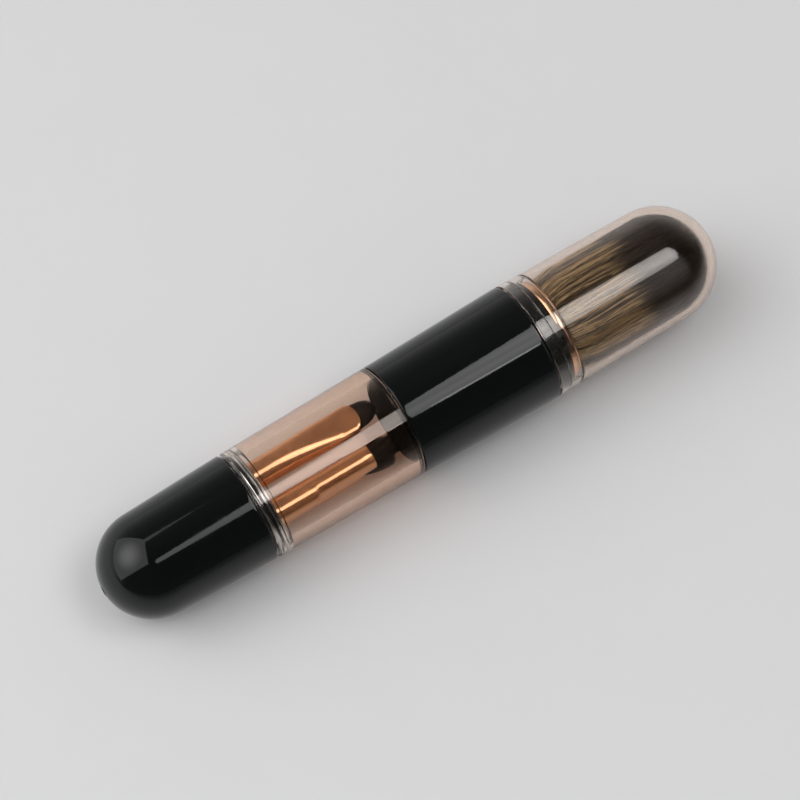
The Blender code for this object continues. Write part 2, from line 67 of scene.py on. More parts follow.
# Stations along the axis, as in the frame
BASE_DOME_CENTRE = 11.2 * MM
HOLDER_START = 12.5 * MM
SOCKET_FLOOR = 14.5 * MM
GRIP_FOOT = 14.8 * MM
BASE_END = 33.05 * MM
CHAMBER_START = 33.2 * MM
HOLDER_STEP = 33.35 * MM
SMALL_FERRULE_START = 34.3 * MM
NECK_END = 36.15 * MM
CHAMBER_STEP = 37.0 * MM
PLUG_START = 67.2 * MM
CHAMBER_END = 67.7 * MM
HANDLE_START = 68.0 * MM
PLUG_END = 72.2 * MM
SPIGOT_END = 73.2 * MM
CORE_START = 87.0 * MM
CORE_WEB_START = 93.95 * MM
CORE_WEB_END = 95.95 * MM
FERRULE_START = 96.25 * MM
HANDLE_END = 100.0 * MM
COLLAR_START = 100.3 * MM
COLLAR_END = 102.62 * MM
CAP_START = 102.7 * MM
POWDER_FOOT = 103.0 * MM
CORE_END = 104.1 * MM
LIP_START = 104.3 * MM
POWDER_ROOT = 105.2 * MM
CAP_LINE = 105.57 * MM
FERRULE_END = 106.1 * MM
POWDER_DOME_CENTRE = 132.1 * MM
CAP_DOME_CENTRE = 132.5 * MM

# Radii, walls and clearances
BASE_DOME_RADIUS = 11.2 * MM
BASE_RIM_RADIUS = 11.85 * MM
BASE_WALL = 1.4 * MM
GATE_RADIUS = 1.0 * MM
GATE_DEPTH = 0.6 * MM
GATE_CROWN = 0.1 * MM
GATE_CHAMFER = 0.12 * MM
GATE_FLAT_SHARE = 0.6
SOCKET_CHAMFER = 0.3 * MM
CHAMBER_END_RADIUS = 12.35 * MM
CHAMBER_LIP_BORE = 11.0 * MM
NECK_RADIUS = 10.5 * MM
SPIGOT_RADIUS = 10.85 * MM
SPIGOT_BORE = 9.65 * MM
PLUG_RADIUS = 9.35 * MM
PLUG_WALL = 1.2 * MM
PLUG_FLOOR = 1.4 * MM
HANDLE_RADIUS = 13.0 * MM
HANDLE_WALL = 1.2 * MM
COLLAR_RADIUS = 12.95 * MM
COLLAR_BORE = 12.3 * MM
CORE_FLANGE_RADIUS = 12.0 * MM
CORE_NECK_RADIUS = 11.6 * MM
CORE_SOCKET_RADIUS = 10.9 * MM
CORE_WALL = 1.2 * MM
FERRULE_RADIUS = 10.6 * MM
FERRULE_LIP_RADIUS = 11.1 * MM
FERRULE_BORE = 10.1 * MM
LIP_CROWN = 0.3 * MM
POWDER_ROOT_RADIUS = 9.3 * MM
CAP_RIM_RADIUS = 12.85 * MM
CAP_LIP_BORE = 11.9 * MM
CAP_WALL = 1.3 * MM
CAP_DOME_RADIUS = 12.5 * MM
FIT = 0.3 * MM

# The straight sides of the shells, from one (station, radius) pair to the other
BASE_SIDE = (BASE_DOME_CENTRE, BASE_DOME_RADIUS), (BASE_END, BASE_RIM_RADIUS)
CHAMBER_SIDE = (CHAMBER_START, BASE_RIM_RADIUS), (CHAMBER_END, CHAMBER_END_RADIUS)
HANDLE_SIDE = (HANDLE_START, CHAMBER_END_RADIUS), (HANDLE_END, HANDLE_RADIUS)
CAP_SIDE = (CAP_START, CAP_RIM_RADIUS), (CAP_DOME_CENTRE, CAP_DOME_RADIUS)

# Fillets of the rims
CRISP = 0.05 * MM
THIN = 0.08 * MM
FINE = 0.1 * MM
EASED = 0.15 * MM
SOFT = 0.2 * MM
BROAD = 0.25 * MM
ROUND = 0.3 * MM
CAP_SHOULDER = 0.12 * MM

# The black shells' sides bend in by the drop over this length at their ends
CROWN_LENGTH = 0.8 * MM
CROWN_DROP = 0.064 * MM
CROWN_SHARES = (0.0, 0.2, 0.4, 0.6, 1.0)

# Groove in the cap's mouth, its outline as shares of half its width and of its depth
GROOVE_HALF_WIDTH = 0.11 * MM
GROOVE_DEPTH = 0.4 * MM
GROOVE_SHARES = ((-1.3, 0.0), (-1.0, 0.075), (-0.9, 1.0), (0.9, 1.0), (1.0, 0.075), (1.3, 0.0))

# Thread: a crest as shares of its height along the axis and outward, the crests' stations, the length over
# which a turn's slope sets in, and the shares of a turn at which it steps back underneath and that this takes
CREST_SHARES = ((-1.0, 0.0), (-0.5, 0.62), (-0.2, 0.9), (0.0, 1.0), (0.2, 0.9), (0.5, 0.62), (1.0, 0.0))
CHAMBER_CRESTS = (33.50 * MM, 34.17 * MM, 35.25 * MM, 35.93 * MM)
NECK_CRESTS = (34.71 * MM,)
THREAD_MARGIN = 0.1 * MM
WIND_LENGTH = 1.0 * MM
THREAD_START_SHARE = 0.195
STEP_BACK_SHARE = 0.04

# Layout of the materials' nodes
NODE_STEP = (200, -260)
NODES_ACROSS = 9

# Fineness of the meshes
SIDES = 144
INNER_SIDES = 96
SHELL_SIDES = 192
SMALL_SIDES = 56
DOME_STEPS = 40
FILLET_STEPS = 6
BEAD_STEPS = 16
LIP_STEPS = 5
PRESS_RINGS = 26
MOUTH_RINGS = 8
MERGE = 0.001 * MM
LONG_FACE = 0.8 * MM
HOLD = 0.04 * MM
OVERRUN = 1.0 * MM
SHARP_ANGLE = math.radians(32)
GOLDEN_ANGLE = math.pi * (3 - math.sqrt(5))

# The small brushes: seat across and up from the axis, roll of the flat, radius of the grip, half the mouth's
# width and thickness, squareness, the press's start and end, whether it ends in a crease, mouth, tip, bow of
# the mouth, dome of the tuft, flare and hair count
SMALL_BRUSHES = (
    {
        "name": "eyeshadow_brush",
        "seat": (4.12 * MM, 2.13 * MM),
        "roll": 0.0,
        "radius": 3.0 * MM,
        "mouth_size": (3.3 * MM, 1.25 * MM),
        "squareness": 3.6,
        "press": (41.0 * MM, 57.2 * MM),
        "crease": True,
        "mouth": 61.8 * MM,
        "tip": 65.8 * MM,
        "bow": 2.15 * MM,
        "dome": 4.2 * MM,
        "flare": 0.1 * MM,
        "hairs": 620,
        "seed": 11,
    },
    {
        "name": "lip_brush",
        "seat": (-4.61 * MM, 1.73 * MM),
        "roll": math.radians(80),
        "radius": 2.65 * MM,
        "mouth_size": (2.7 * MM, 2.25 * MM),
        "squareness": 2.2,
        "press": (45.7 * MM, 46.5 * MM),
        "crease": False,
        "mouth": 59.4 * MM,
        "tip": 65.4 * MM,
        "bow": 0.1 * MM,
        "dome": 0.6 * MM,
        "flare": 0.0,
        "hairs": 620,
        "seed": 12,
    },
    {
        "name": "blending_brush",
        "seat": (-3.33 * MM, -4.61 * MM),
        "roll": 0.0,
        "radius": 2.8 * MM,
        "mouth_size": (2.6 * MM, 2.6 * MM),
        "squareness": 2.0,
        "press": (47.0 * MM, 57.0 * MM),
        "crease": False,
        "mouth": 57.8 * MM,
        "tip": 65.2 * MM,
        "bow": 0.4 * MM,
        "dome": 1.6 * MM,
        "flare": 1.75 * MM,
        "hairs": 760,
        "seed": 13,
    },
)
SMALL_FERRULE_WALL = 0.35 * MM
SMALL_FERRULE_HEM = 0.1 * MM
CREASE_POWER = 1.7
TENON_LENGTH = 5.0 * MM
GRIP_EDGE = 0.8 * MM
TUFT_REACH = 9.45 * MM
TUFT_ROOT = 2.4 * MM
TUFT_GAP = 0.06 * MM
TUFT_POINTS = 7
TUFT_OPEN_POWER = 0.8
TUFT_PUFF_SHARE = 0.10
TUFT_CLOSE_SHARE = 0.10
TUFT_CLOSE_FROM = 0.6
TUFT_WAVE = 0.035 * MM
TUFT_WAVE_TURN = 9
TUFT_TAPER = (0.7, 0.8)
SMALL_HAIR_RADIUS = 0.062 * MM

# Powder head: the swell above its root, the gap to its full size, and the dense mass under the hairs, whose
# colour is dimmed as painted shade between them
POWDER_SWELL = 5.5 * MM
SWELL_POWER = 0.6
POWDER_INSET = 0.05 * MM
POWDER_LEAST_RADIUS = 0.001 * MM
MASS_SHARE = 0.93
MASS_REACH = 10.0 * MM
MASS_SIDE_RINGS = 40
MASS_DOME_RINGS = 24
MASS_DOME_TURN = (0.05, 1.57)
MASS_TONE = 0.25
MASS_EDGE = 0.5

# Its two layers: points along a hair, root, radius, scatter about the axis, and how far the hairs are drawn
# to the middle of their lock
OUTER_LAYER = {"points": 12, "root": POWDER_ROOT, "radius": 0.068 * MM, "scatter": 0.03, "gather": 0.55}
INNER_LAYER = {"points": 9, "root": 120.0 * MM, "radius": 0.075 * MM, "scatter": 0.02, "gather": 0.0}
OUTER_DEPTH_SHARE = 0.11
OUTER_DEPTH_POWER = 1.3
INNER_REACH_SHARE = 0.97
RIM_FROM_SHARE = 0.8
INNER_TIP_SHARE = 0.98
CLOSE_FROM_SHARE = 0.62
DOME_FROM = 128.0 * MM
UNDER_LIMIT_SHARE = 0.999
TIP_UNEVENNESS = 0.5 * MM
POWDER_TAPER = (0.85, 0.75)

# The locks: scatter about the axis, where along a hair they gather and loosen, how far they and single hairs
# wave about the axis and over what length, and what their tone and edge weigh beside the single hair's
LOCK_SCATTER = 0.05
GATHERED_AT_SHARE = 0.35
LOOSE_FROM_SHARE = 0.55
LOOSE_SHARE = 0.6
LOCK_WAVES = ((0.018, 5.2 * MM), (0.012, 2.3 * MM))
HAIR_WAVE = (0.006, 3.1 * MM)
LOCK_TONE_SHARE = 0.95
LOCK_TONE_POWER = 1.8
HAIR_TONE_SHARE = 0.65
TONE_DROP = 0.27
LOCK_EDGE_SHARE = 0.65
DARK_LENGTH = (-5.5 * MM, -1.0 * MM)
DARK_LAG = 6.0 * MM

# Traces of handling: where smudges end, half a hairline's width as the noise has it, and a dust grain's edge
SMUDGE_EDGE = (0.46, 0.68)
HAIRLINE = (0.0, 0.004)
DUST_EDGE = (0.015, 0.045)
DUST_COLOUR = (0.09, 0.09, 0.088)
TINT_DENSITY = 137.0

# Stage: the camera's place and turn, the floor that meets the handle, and the lights
CAMERA_PLACE = (-120.07 * MM, -182.97 * MM, 525.9 * MM)
CAMERA_TURN = (math.radians(23.3), 0.0, math.radians(-32.6))
CAMERA_LENS = 123.75
CAMERA_SENSOR = 36.0
CAMERA_NEAR = 0.01
FLOOR_TOUCH = 27.5 * MM
FLOOR_DROP = 0.05 * MM
FLOOR_TILT = math.radians(0.98)
FLOOR_REACH = 2.5
# How far towards the front the floor's painted shade reaches, and the share of its colour that it takes away;
# only glossy rays see it
FLOOR_SHADE_REACH = 0.16
FLOOR_SHADE_SHARE = 0.7
KEY_HEIGHT = 0.9
KEY_OUTLINE = (
    (-0.070, -0.370), (-0.014, -0.287), (0.037, -0.220), (0.090, -0.154), (0.142, -0.109), (0.184, -0.056),
    (0.227, -0.012), (0.275, 0.050), (0.332, 0.051), (0.374, 0.028), (0.480, -0.085), (0.590, -0.195),
    (0.600, -0.330), (0.575, -0.472), (0.423, -0.512), (0.315, -0.528), (0.290, -0.600), (0.273, -0.631),
    (0.220, -0.599), (0.167, -0.540), (0.106, -0.500), (0.045, -0.471), (-0.011, -0.431),
)
KEY_BRIGHTEST = (0.36, -0.26, KEY_HEIGHT)
KEY_FALL = (0.5, 0.42)
# A dimmer band across the soft box: a point on it, the way that it is crossed, half its width and its level
KEY_BAND = ((0.094, -0.159, KEY_HEIGHT), (0.644, 0.765, 0), 0.09, 0.8)
# Bright edge of the soft box, which the handle shows along its strip of light
RIM_OUTLINE = (
    (0.190, -0.566), (0.220, -0.599), (0.273, -0.631), (0.302, -0.566),
    (0.302, -0.510), (0.273, -0.575), (0.220, -0.543), (0.190, -0.510),
)
RIM_BRIGHTEST = (0.26, -0.59, KEY_HEIGHT)
RIM_HEIGHT = 0.898
RIM_LEVEL_SHARE = 1.5
WINDOW_FROM = (-61 * MM, 0.0, 20 * MM)
WINDOW_FACING = (-0.561, 0.369, 0.742)
WINDOW_DISTANCE = 1.1
WINDOW_CORNERS = (
    (-0.994, -0.022, 0.111), (-0.245, -0.294, 0.924), (0.085, 0.478, 0.874), (-0.435, 0.881, 0.188),
)
WINDOW_FALL = (0.7, 0.35)
CARD_DISTANCE = 1.6
CARD_BRIGHTEST = (0.30, -0.60, 0.74)
CARD_CORNERS = ((0.283, -0.404, 0.870), (0.6, -0.338, 0.725), (0.6, -0.783, 0.166), (0.283, -0.937, 0.205))
CARD_FALL = (1.5, 0.0)

# The room that shines show: levels from the horizon up, and the levels' share in front
ROOM_STOPS = ((0.0, 1.0), (0.18, 0.72), (0.45, 0.30), (0.75, 0.10), (1.0, 0.08))
ROOM_TURN = (-0.25, 0.45)
ROOM_FRONT_SHARE = 0.06


class BrushSizes(bpy.types.PropertyGroup):
    """Sizes that change the look without changing the part."""

    thread_pitch: FloatProperty(
        name="Thread pitch", description="Distance from one turn of the chamber's thread to the next",
        default=1.8 * MM, min=0.5 * MM, max=1.9 * MM, subtype="DISTANCE",
    )
    thread_depth: FloatProperty(
        name="Thread depth", description="Height of the thread in the chamber's mouth",
        default=0.20 * MM, min=0.0, max=0.3 * MM, subtype="DISTANCE",
    )
    outer_hairs: IntProperty(
        name="Outer powder hairs", description="Hairs on the side of the powder head", default=3000, min=100,
    )
    inner_hairs: IntProperty(
        name="Inner powder hairs", description="Hairs whose tips make the dome of the powder head",
        default=3400, min=100,
    )
    hair_clumps: IntProperty(
        name="Powder hair clumps", description="Locks that the outer hairs gather into", default=190, min=10,
    )
    powder_radius: FloatProperty(
        name="Powder head radius", description="Radius of the powder head at its belly",
        default=11.0 * MM, min=9.0 * MM, max=11.15 * MM, subtype="DISTANCE",
    )
    dark_from: FloatProperty(
        name="Dark tips from", description="Station where the tan hair turns dark",
        default=123.6 * MM, subtype="DISTANCE",
    )


class BrushColours(bpy.types.PropertyGroup):
    """Linear colours of the finishes."""

    black: FloatVectorProperty(
        name="Black plastic", description="Gloss black of the base, the handle and the inserts",
        default=(0.0045, 0.0052, 0.0050), min=0, max=1, subtype="COLOR",
    )
    clear: FloatVectorProperty(
        name="Clear plastic", description="Smoked pink-brown of the clear pieces where they are thick",
        default=(0.76, 0.372, 0.066), min=0, max=1, subtype="COLOR",
    )
    rose_gold: FloatVectorProperty(
        name="Rose gold", description="Metal of the four ferrules",
        default=(0.97, 0.57, 0.32), min=0, max=1, subtype="COLOR",
    )
    hair_light: FloatVectorProperty(
        name="Light hair", description="The palest powder hairs",
        default=(0.66, 0.50, 0.27), min=0, max=1, subtype="COLOR",
    )
    hair_deep: FloatVectorProperty(
        name="Deep hair", description="The deepest tan powder hairs",
        default=(0.036, 0.023, 0.013), min=0, max=1, subtype="COLOR",
    )
    hair_tip: FloatVectorProperty(
        name="Hair tips", description="Dark brown of the powder hair's tips",
        default=(0.028, 0.019, 0.013), min=0, max=1, subtype="COLOR",
    )
    small_hair: FloatVectorProperty(
        name="Small hair", description="Dark brown of the small brushes' hair",
        default=(0.014, 0.010, 0.007), min=0, max=1, subtype="COLOR",
    )
    floor: FloatVectorProperty(
        name="Floor", description="Pale grey of the floor",
        default=(0.70, 0.70, 0.705), min=0, max=1, subtype="COLOR",
    )


class BrushLights(bpy.types.PropertyGroup):
    """Levels of the lights, where 1 shows as white."""

    key: FloatProperty(name="Soft box", description="Level of the soft box overhead", default=4.5, min=0)
    window: FloatProperty(name="Window", description="Level of the soft box behind", default=3.7, min=0)
    card: FloatProperty(name="Card", description="Level of the card in front", default=0.4, min=0)
    surround: FloatProperty(
        name="Surround", description="Level of the room near the floor, as shiny surfaces show it",
        default=0.8, min=0,
    )
    fill: FloatProperty(name="Fill", description="Level of the light in the shadows", default=0.37, min=0)


# Curves and outlines


def ease(share):
    """Goes from 0 to 1 with no corner at either end."""
    share = np.clip(share, 0.0, 1.0)
    return share * share * (3 - 2 * share)


def between(start, end, share):
    return start + (end - start) * share


def line_at(station, start, end):
    """The radius at a station of the straight line from start to end, each a (station, radius) pair."""
    return between(start[1], end[1], (station - start[0]) / (end[0] - start[0]))


def arc(centre, radius, start, end, steps):
    """Points of an arc about a (station, radius) centre. Angle 0 is along the axis, a quarter turn is out."""
    points = []
    for step in range(steps + 1):
        angle = between(start, end, step / steps)
        points.append((centre[0] + radius * math.cos(angle), centre[1] + radius * math.sin(angle)))
    return points


def rounded(before, corner, after, radius, steps=FILLET_STEPS):
    """The corner between two neighbours as an arc that is tangent to both sides."""
    arms = []
    for other in (before, after):
        offset = (other[0] - corner[0], other[1] - corner[1])
        length = math.hypot(*offset)
        arms.append((offset[0] / length, offset[1] / length))
    first, second = arms
    half = math.acos(first[0] * second[0] + first[1] * second[1]) / 2
    reach = radius / math.tan(half)
    middle = (first[0] + second[0], first[1] + second[1])
    scale = radius / math.sin(half) / math.hypot(*middle)
    centre = (corner[0] + middle[0] * scale, corner[1] + middle[1] * scale)
    ends = [(corner[0] + arm[0] * reach, corner[1] + arm[1] * reach) for arm in arms]
    angles = [math.atan2(end[1] - centre[1], end[0] - centre[0]) for end in ends]
    turn = (angles[1] - angles[0] + math.pi) % (2 * math.pi) - math.pi
    return arc(centre, radius, angles[0], angles[0] + turn, steps)


def outline(*corners):
    """A closed outline from (station, radius) corners. A third number rounds the corner."""
    points = []
    for index, corner in enumerate(corners):
        if len(corner) == 3:
            after = corners[(index + 1) % len(corners)]
            points += rounded(corners[index - 1], corner, after, corner[2])
        else:
            points.append(corner)
    return points


def crowned(before, end):
    """Points that bend the line from before in towards its end, and the end itself."""
    way = math.copysign(CROWN_LENGTH, end[0] - before[0])
    points = []
    for share in CROWN_SHARES:
        station = end[0] - way * (1 - share)
        points.append((station, line_at(station, before, end) - CROWN_DROP * share**2))
    return points


def thread_points(start, end, radius, depth, crests):
    """A threaded stretch as (station, radius, wind) points. wind is their share of the thread's slope."""
    way = math.copysign(1, end - start)
    points = []
    for crest in sorted(crests, reverse=end < start):
        for aside, height in CREST_SHARES:
            station = crest + way * aside * abs(depth)
            wind = min(WIND_LENGTH, abs(station - start), abs(station - end)) / WIND_LENGTH
            points.append((station, radius + depth * height, wind))
    return points


# Meshes


def axis_place(seat=(0.0, 0.0), roll=0.0):
    """The matrix that takes a shape whose X is its axis to its seat beside the brush's axis."""
    return Matrix.Translation((BASE_POLE, seat[0], AXIS_HEIGHT + seat[1])) @ Matrix.Rotation(roll, 4, "X")


def new_mesh(name, corners, faces, place=None):
    mesh = bpy.data.meshes.new(name)
    mesh.from_pydata(corners, [], faces)
    if place is not None:
        mesh.transform(place)
    mesh.validate()
    mesh.shade_smooth()
    return mesh


def tidy_solid(mesh):
    """Merges doubled corners, turns all faces outward and marks the sharp edges."""
    shape = bmesh.new()
    shape.from_mesh(mesh)
    bmesh.ops.remove_doubles(shape, verts=shape.verts, dist=MERGE)
    bmesh.ops.recalc_face_normals(shape, faces=shape.faces)
    shape.to_mesh(mesh)
    shape.free()
    mesh.shade_smooth()
    mesh.set_sharp_from_angle(angle=SHARP_ANGLE)


def ring_faces(rings, sides, closed):
    """Faces of a band of rings with the same number of corners, joined last to first if closed."""
    faces = []
    for ring in range(rings if closed else rings - 1):
        start, other = ring * sides, (ring + 1) % rings * sides
        for side in range(sides):
            after = (side + 1) % sides
            faces.append((start + side, start + after, other + after, other + side))
    return faces


def held(points):
    """The closed outline with points close to both ends of long faces, which keep their shading straight."""
    made = []
    for point, after in zip(points, points[1:] + points[:1]):
        made.append(point)
        length = math.dist(point[:2], after[:2])
        if length > LONG_FACE:
            for share in (HOLD / length, 1 - HOLD / length):
                made.append((between(point[0], after[0], share), between(point[1], after[1], share)))
    return made


def turned(name, points, place, sides=SIDES, pitch=0.0):
    """A turned solid from a closed outline. A point's third number is its share of the thread's slope."""
    points = held(points)
    stations, radii, winds = np.array([(*point, 0.0)[:3] for point in points]).T[:, :, None]
    angles = (2 * math.pi / sides * np.arange(sides))[None, :]
    turns = (angles / (2 * math.pi) + THREAD_START_SHARE) % 1.0
    slope = pitch * (turns - 0.5) * ease(np.minimum(turns, 1 - turns) / STEP_BACK_SHARE)
    corners = np.stack((stations + winds * slope, radii * np.cos(angles), radii * np.sin(angles)), axis=-1)
    mesh = new_mesh(name, corners.reshape(-1, 3).tolist(), ring_faces(len(points), sides, True), place)
    tidy_solid(mesh)
    return mesh


def put(name, mesh, look, body, node, stands_for=True):
    """A piece of the brush, with its finish, the body that it rides on and the node that it stands for."""
    piece = bpy.data.objects.new(name, mesh)
    bpy.context.scene.collection.objects.link(piece)
    mesh.materials.append(made_finish(look))
    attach(piece, body)
    if stands_for:
        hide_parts(node)
    return piece


def put_turned(name, points, look, body, node, sides=SIDES, pitch=0.0):
    """A piece that is turned about the brush's own axis."""
    return put(name, turned(name, points, axis_place(), sides, pitch), look, body, node)


# Nodes of the materials


def add(tree, kind, inputs=None, **settings):
    """A node with its settings. Its inputs are values, or sockets to link from."""
    made = tree.nodes.new(kind)
    down, across = divmod(len(tree.nodes), NODES_ACROSS)
    made.location = (NODE_STEP[0] * across, NODE_STEP[1] * down)
    for key, value in settings.items():
        setattr(made, key, value)
    for key, value in (inputs or {}).items():
        if isinstance(value, bpy.types.NodeSocket):
            tree.links.new(value, made.inputs[key])
        else:
            made.inputs[key].default_value = value
    return made


def number(tree, operation, *values):
    """The socket of a sum with up to three values or sockets."""
    return add(tree, "ShaderNodeMath", dict(enumerate(values)), operation=operation).outputs[0]


def vector(tree, operation, *values):
    """The socket of a sum with two vectors, which is a number where the sum measures them."""
    made = add(tree, "ShaderNodeVectorMath", dict(enumerate(values)), operation=operation)
    return made.outputs["Value" if operation in ("DISTANCE", "DOT_PRODUCT") else "Vector"]


def ranged(tree, value, taken, given=(0.0, 1.0), smooth=True):
    """The value with the range taken laid over the range given, and held beyond its ends."""
    inputs = {"Value": value}
    inputs.update(zip(("From Min", "From Max", "To Min", "To Max"), (*taken, *given)))
    kind = "SMOOTHSTEP" if smooth else "LINEAR"
    return add(tree, "ShaderNodeMapRange", inputs, interpolation_type=kind).outputs[0]


def noise(tree, place, scale, detail, **more):
    inputs = {"Vector": place, "Scale": scale, "Detail": detail}
    inputs.update({key.title(): value for key, value in more.items()})
    return add(tree, "ShaderNodeTexNoise", inputs).outputs["Fac"]


def stretched(tree, place, scale, turn=(0.0, 0.0, 0.0)):
    """The place scaled by unlike amounts, on which a noise makes lines."""
    return add(tree, "ShaderNodeMapping", {"Vector": place, "Rotation": turn, "Scale": scale}).outputs[0]


def object_place(tree):
    return add(tree, "ShaderNodeTexCoord").outputs["Object"]


def attribute(tree, label):
    return add(tree, "ShaderNodeAttribute", attribute_name=label).outputs["Fac"]


def mixed_colour(tree, share, first, second):
    """The first colour or socket where share is 0, and the second where it is 1."""
    ends = [end if isinstance(end, bpy.types.NodeSocket) else (*end, 1) for end in (first, second)]
    inputs = {"Factor": share, "A": ends[0], "B": ends[1]}
    return add(tree, "ShaderNodeMix", inputs, data_type="RGBA").outputs["Result"]


def relief(tree, height, strength, depth):
    inputs = {"Height": height, "Strength": strength, "Distance": depth}
    return add(tree, "ShaderNodeBump", inputs).outputs[0]


def surface(tree, inputs):
    return add(tree, "ShaderNodeBsdfPrincipled", inputs).outputs[0]


def shaded(colour, share):
    return tuple(value * share for value in colour)


def new_group(name, inputs, outputs):
    """A shader node group that takes a vector and named numbers, and its input and output sockets."""
    tree = bpy.data.node_groups.new(name, "ShaderNodeTree")
    tree.interface.new_socket("Vector", in_out="INPUT", socket_type="NodeSocketVector")
    for socket, value in inputs.items():
        made = tree.interface.new_socket(socket, in_out="INPUT", socket_type="NodeSocketFloat")
        made.default_value = value
    for socket in outputs:
        tree.interface.new_socket(socket, in_out="OUTPUT", socket_type="NodeSocketFloat")
    return tree, tree.nodes.new("NodeGroupInput").outputs, tree.nodes.new("NodeGroupOutput").inputs


def handled_group():
    """Traces of handling on a smooth moulded or polished surface: smudges, hairline scratches and dust."""
    name = "Handled surface"
    if name in bpy.data.node_groups:
        return bpy.data.node_groups[name]
    inputs = {
        "Smudge Size": 6.0, "Scratch Spacing": 5.0, "Dust Spacing": 3.0, "Dust Amount": 0.12,
        "Base Roughness": 0.06, "Smudge Roughness": 0.06, "Scratch Roughness": 0.1,
    }
    tree, given, out = new_group(name, inputs, ("Roughness", "Height", "Dust"))
    millimetres = vector(tree, "MULTIPLY", given["Vector"], (1 / MM, 1 / MM, 1 / MM))
    smudge_scale = number(tree, "DIVIDE", 1.0, given["Smudge Size"])
    patches = ranged(tree, noise(tree, millimetres, smudge_scale, 5.0, roughness=0.62), SMUDGE_EDGE)
    slanted = stretched(tree, millimetres, (0.25, 1.0, 1.0), (0.4, 0.9, 0.6))
    scratch_scale = number(tree, "DIVIDE", 1.0, given["Scratch Spacing"])
    lines = noise(tree, slanted, scratch_scale, 1.0, distortion=0.6)
    apart = number(tree, "ABSOLUTE", number(tree, "SUBTRACT", lines, 0.5))
    scratch = ranged(tree, apart, HAIRLINE, (1.0, 0.0), smooth=False)
    rubbed = number(tree, "MULTIPLY", scratch, patches)
    dust_scale = number(tree, "DIVIDE", 1.0, given["Dust Spacing"])
    cells = add(tree, "ShaderNodeTexVoronoi", {"Vector": millimetres, "Scale": dust_scale}).outputs
    grain = ranged(tree, cells["Distance"], DUST_EDGE, (1.0, 0.0), smooth=False)
    pick = add(tree, "ShaderNodeSeparateColor", {0: cells["Color"]}).outputs[0]
    dust = number(tree, "MULTIPLY", grain, number(tree, "LESS_THAN", pick, given["Dust Amount"]))
    smudged = number(tree, "MULTIPLY_ADD", patches, given["Smudge Roughness"], given["Base Roughness"])
    rough = number(tree, "MULTIPLY_ADD", rubbed, given["Scratch Roughness"], smudged)
    ripple = noise(tree, millimetres, 0.55, 2.0)
    height = number(tree, "MULTIPLY_ADD", rubbed, -0.12, ripple)
    tree.links.new(rough, out["Roughness"])
    tree.links.new(height, out["Height"])
    tree.links.new(dust, out["Dust"])
    return tree


def handled(tree, **values):
    """The traces of handling placed in a material, with its own values."""
    inputs = {"Vector": object_place(tree)}
    inputs.update({key.replace("_", " ").title(): value for key, value in values.items()})
    return add(tree, "ShaderNodeGroup", inputs, node_tree=handled_group()).outputs


# Materials


def new_material(name):
    """A material with only its output, its node tree and the output's sockets."""
    look = bpy.data.materials.new(name)
    look.use_nodes = True
    look.node_tree.nodes.clear()
    return look, look.node_tree, look.node_tree.nodes.new("ShaderNodeOutputMaterial").inputs


def black_plastic(name, roughness, smudges, ripple, specular):
    """Moulded black plastic with a faint ripple in its gloss, smudges, hairlines and a little dust."""
    look, tree, out = new_material(name)
    wear = handled(tree, base_roughness=roughness, smudge_roughness=smudges, dust_amount=0.10)
    shader = surface(tree, {
        "Base Color": mixed_colour(tree, wear["Dust"], bpy.context.scene.brush_colours.black, DUST_COLOUR),
        "Roughness": wear["Roughness"],
        "Normal": relief(tree, wear["Height"], ripple, 0.02 * MM),
        "IOR": 1.5,
        "Specular IOR Level": specular,
    })
    tree.links.new(shader, out["Surface"])
    return look


def clear_plastic(name, shade):
    """Clear plastic, smoked pink-brown. Rays from lamps go straight through it, dimmed to the shade."""
    look, tree, out = new_material(name)
    wear = handled(
        tree, base_roughness=0.012, smudge_roughness=0.03, scratch_roughness=0.05, dust_amount=0.05,
        dust_spacing=4.0,
    )
    glass = surface(tree, {
        "Base Color": (0.99, 0.985, 0.98, 1),
        "Roughness": wear["Roughness"],
        "Normal": relief(tree, wear["Height"], 0.15, 0.02 * MM),
        "IOR": 1.52,
        "Transmission Weight": 1.0,
    })
    straight = add(tree, "ShaderNodeBsdfTransparent", {"Color": (shade, shade, shade, 1)}).outputs[0]
    shadow_ray = add(tree, "ShaderNodeLightPath").outputs["Is Shadow Ray"]
    mixed = add(tree, "ShaderNodeMixShader", {0: shadow_ray, 1: glass, 2: straight}).outputs[0]
    tint = tree.nodes.new("ShaderNodeVolumeAbsorption")
    tint.inputs["Color"].default_value = (*bpy.context.scene.brush_colours.clear, 1)
    tint.inputs["Density"].default_value = TINT_DENSITY
    tree.links.new(mixed, out["Surface"])
    tree.links.new(tint.outputs[0], out["Volume"])
    return look


def rose_gold_metal(name, polished, matt):
    """Anodised rose gold with faint drawn lines, whose fine grain is part polished and part matt."""
    look, tree, out = new_material(name)
    colour = bpy.context.scene.brush_colours.rose_gold
    wear = handled(
        tree, base_roughness=polished, smudge_roughness=0.05, scratch_roughness=0.08, smudge_size=3.0,
        scratch_spacing=2.0, dust_amount=0.02,
    )
    place = object_place(tree)
    lines = noise(tree, stretched(tree, place, (20, 9000, 9000)), 1.0, 3.0)
    height = number(tree, "MULTIPLY_ADD", lines, 0.35, wear["Height"])
    matt_share = ranged(tree, noise(tree, place, 25000.0, 0.0), (0.57, 0.62), (0.0, matt), smooth=False)
    shader = surface(tree, {
        "Base Color": mixed_colour(tree, lines, colour, shaded(colour, 0.82)),
        "Metallic": 1.0,
        "Roughness": number(tree, "ADD", wear["Roughness"], matt_share),
        "Normal": relief(tree, height, 0.3, 0.01 * MM),
        "Coat Weight": 1.0,
        "Coat Roughness": 0.1,
        "Coat IOR": 1.7,
    })
    tree.links.new(shader, out["Surface"])
    return look


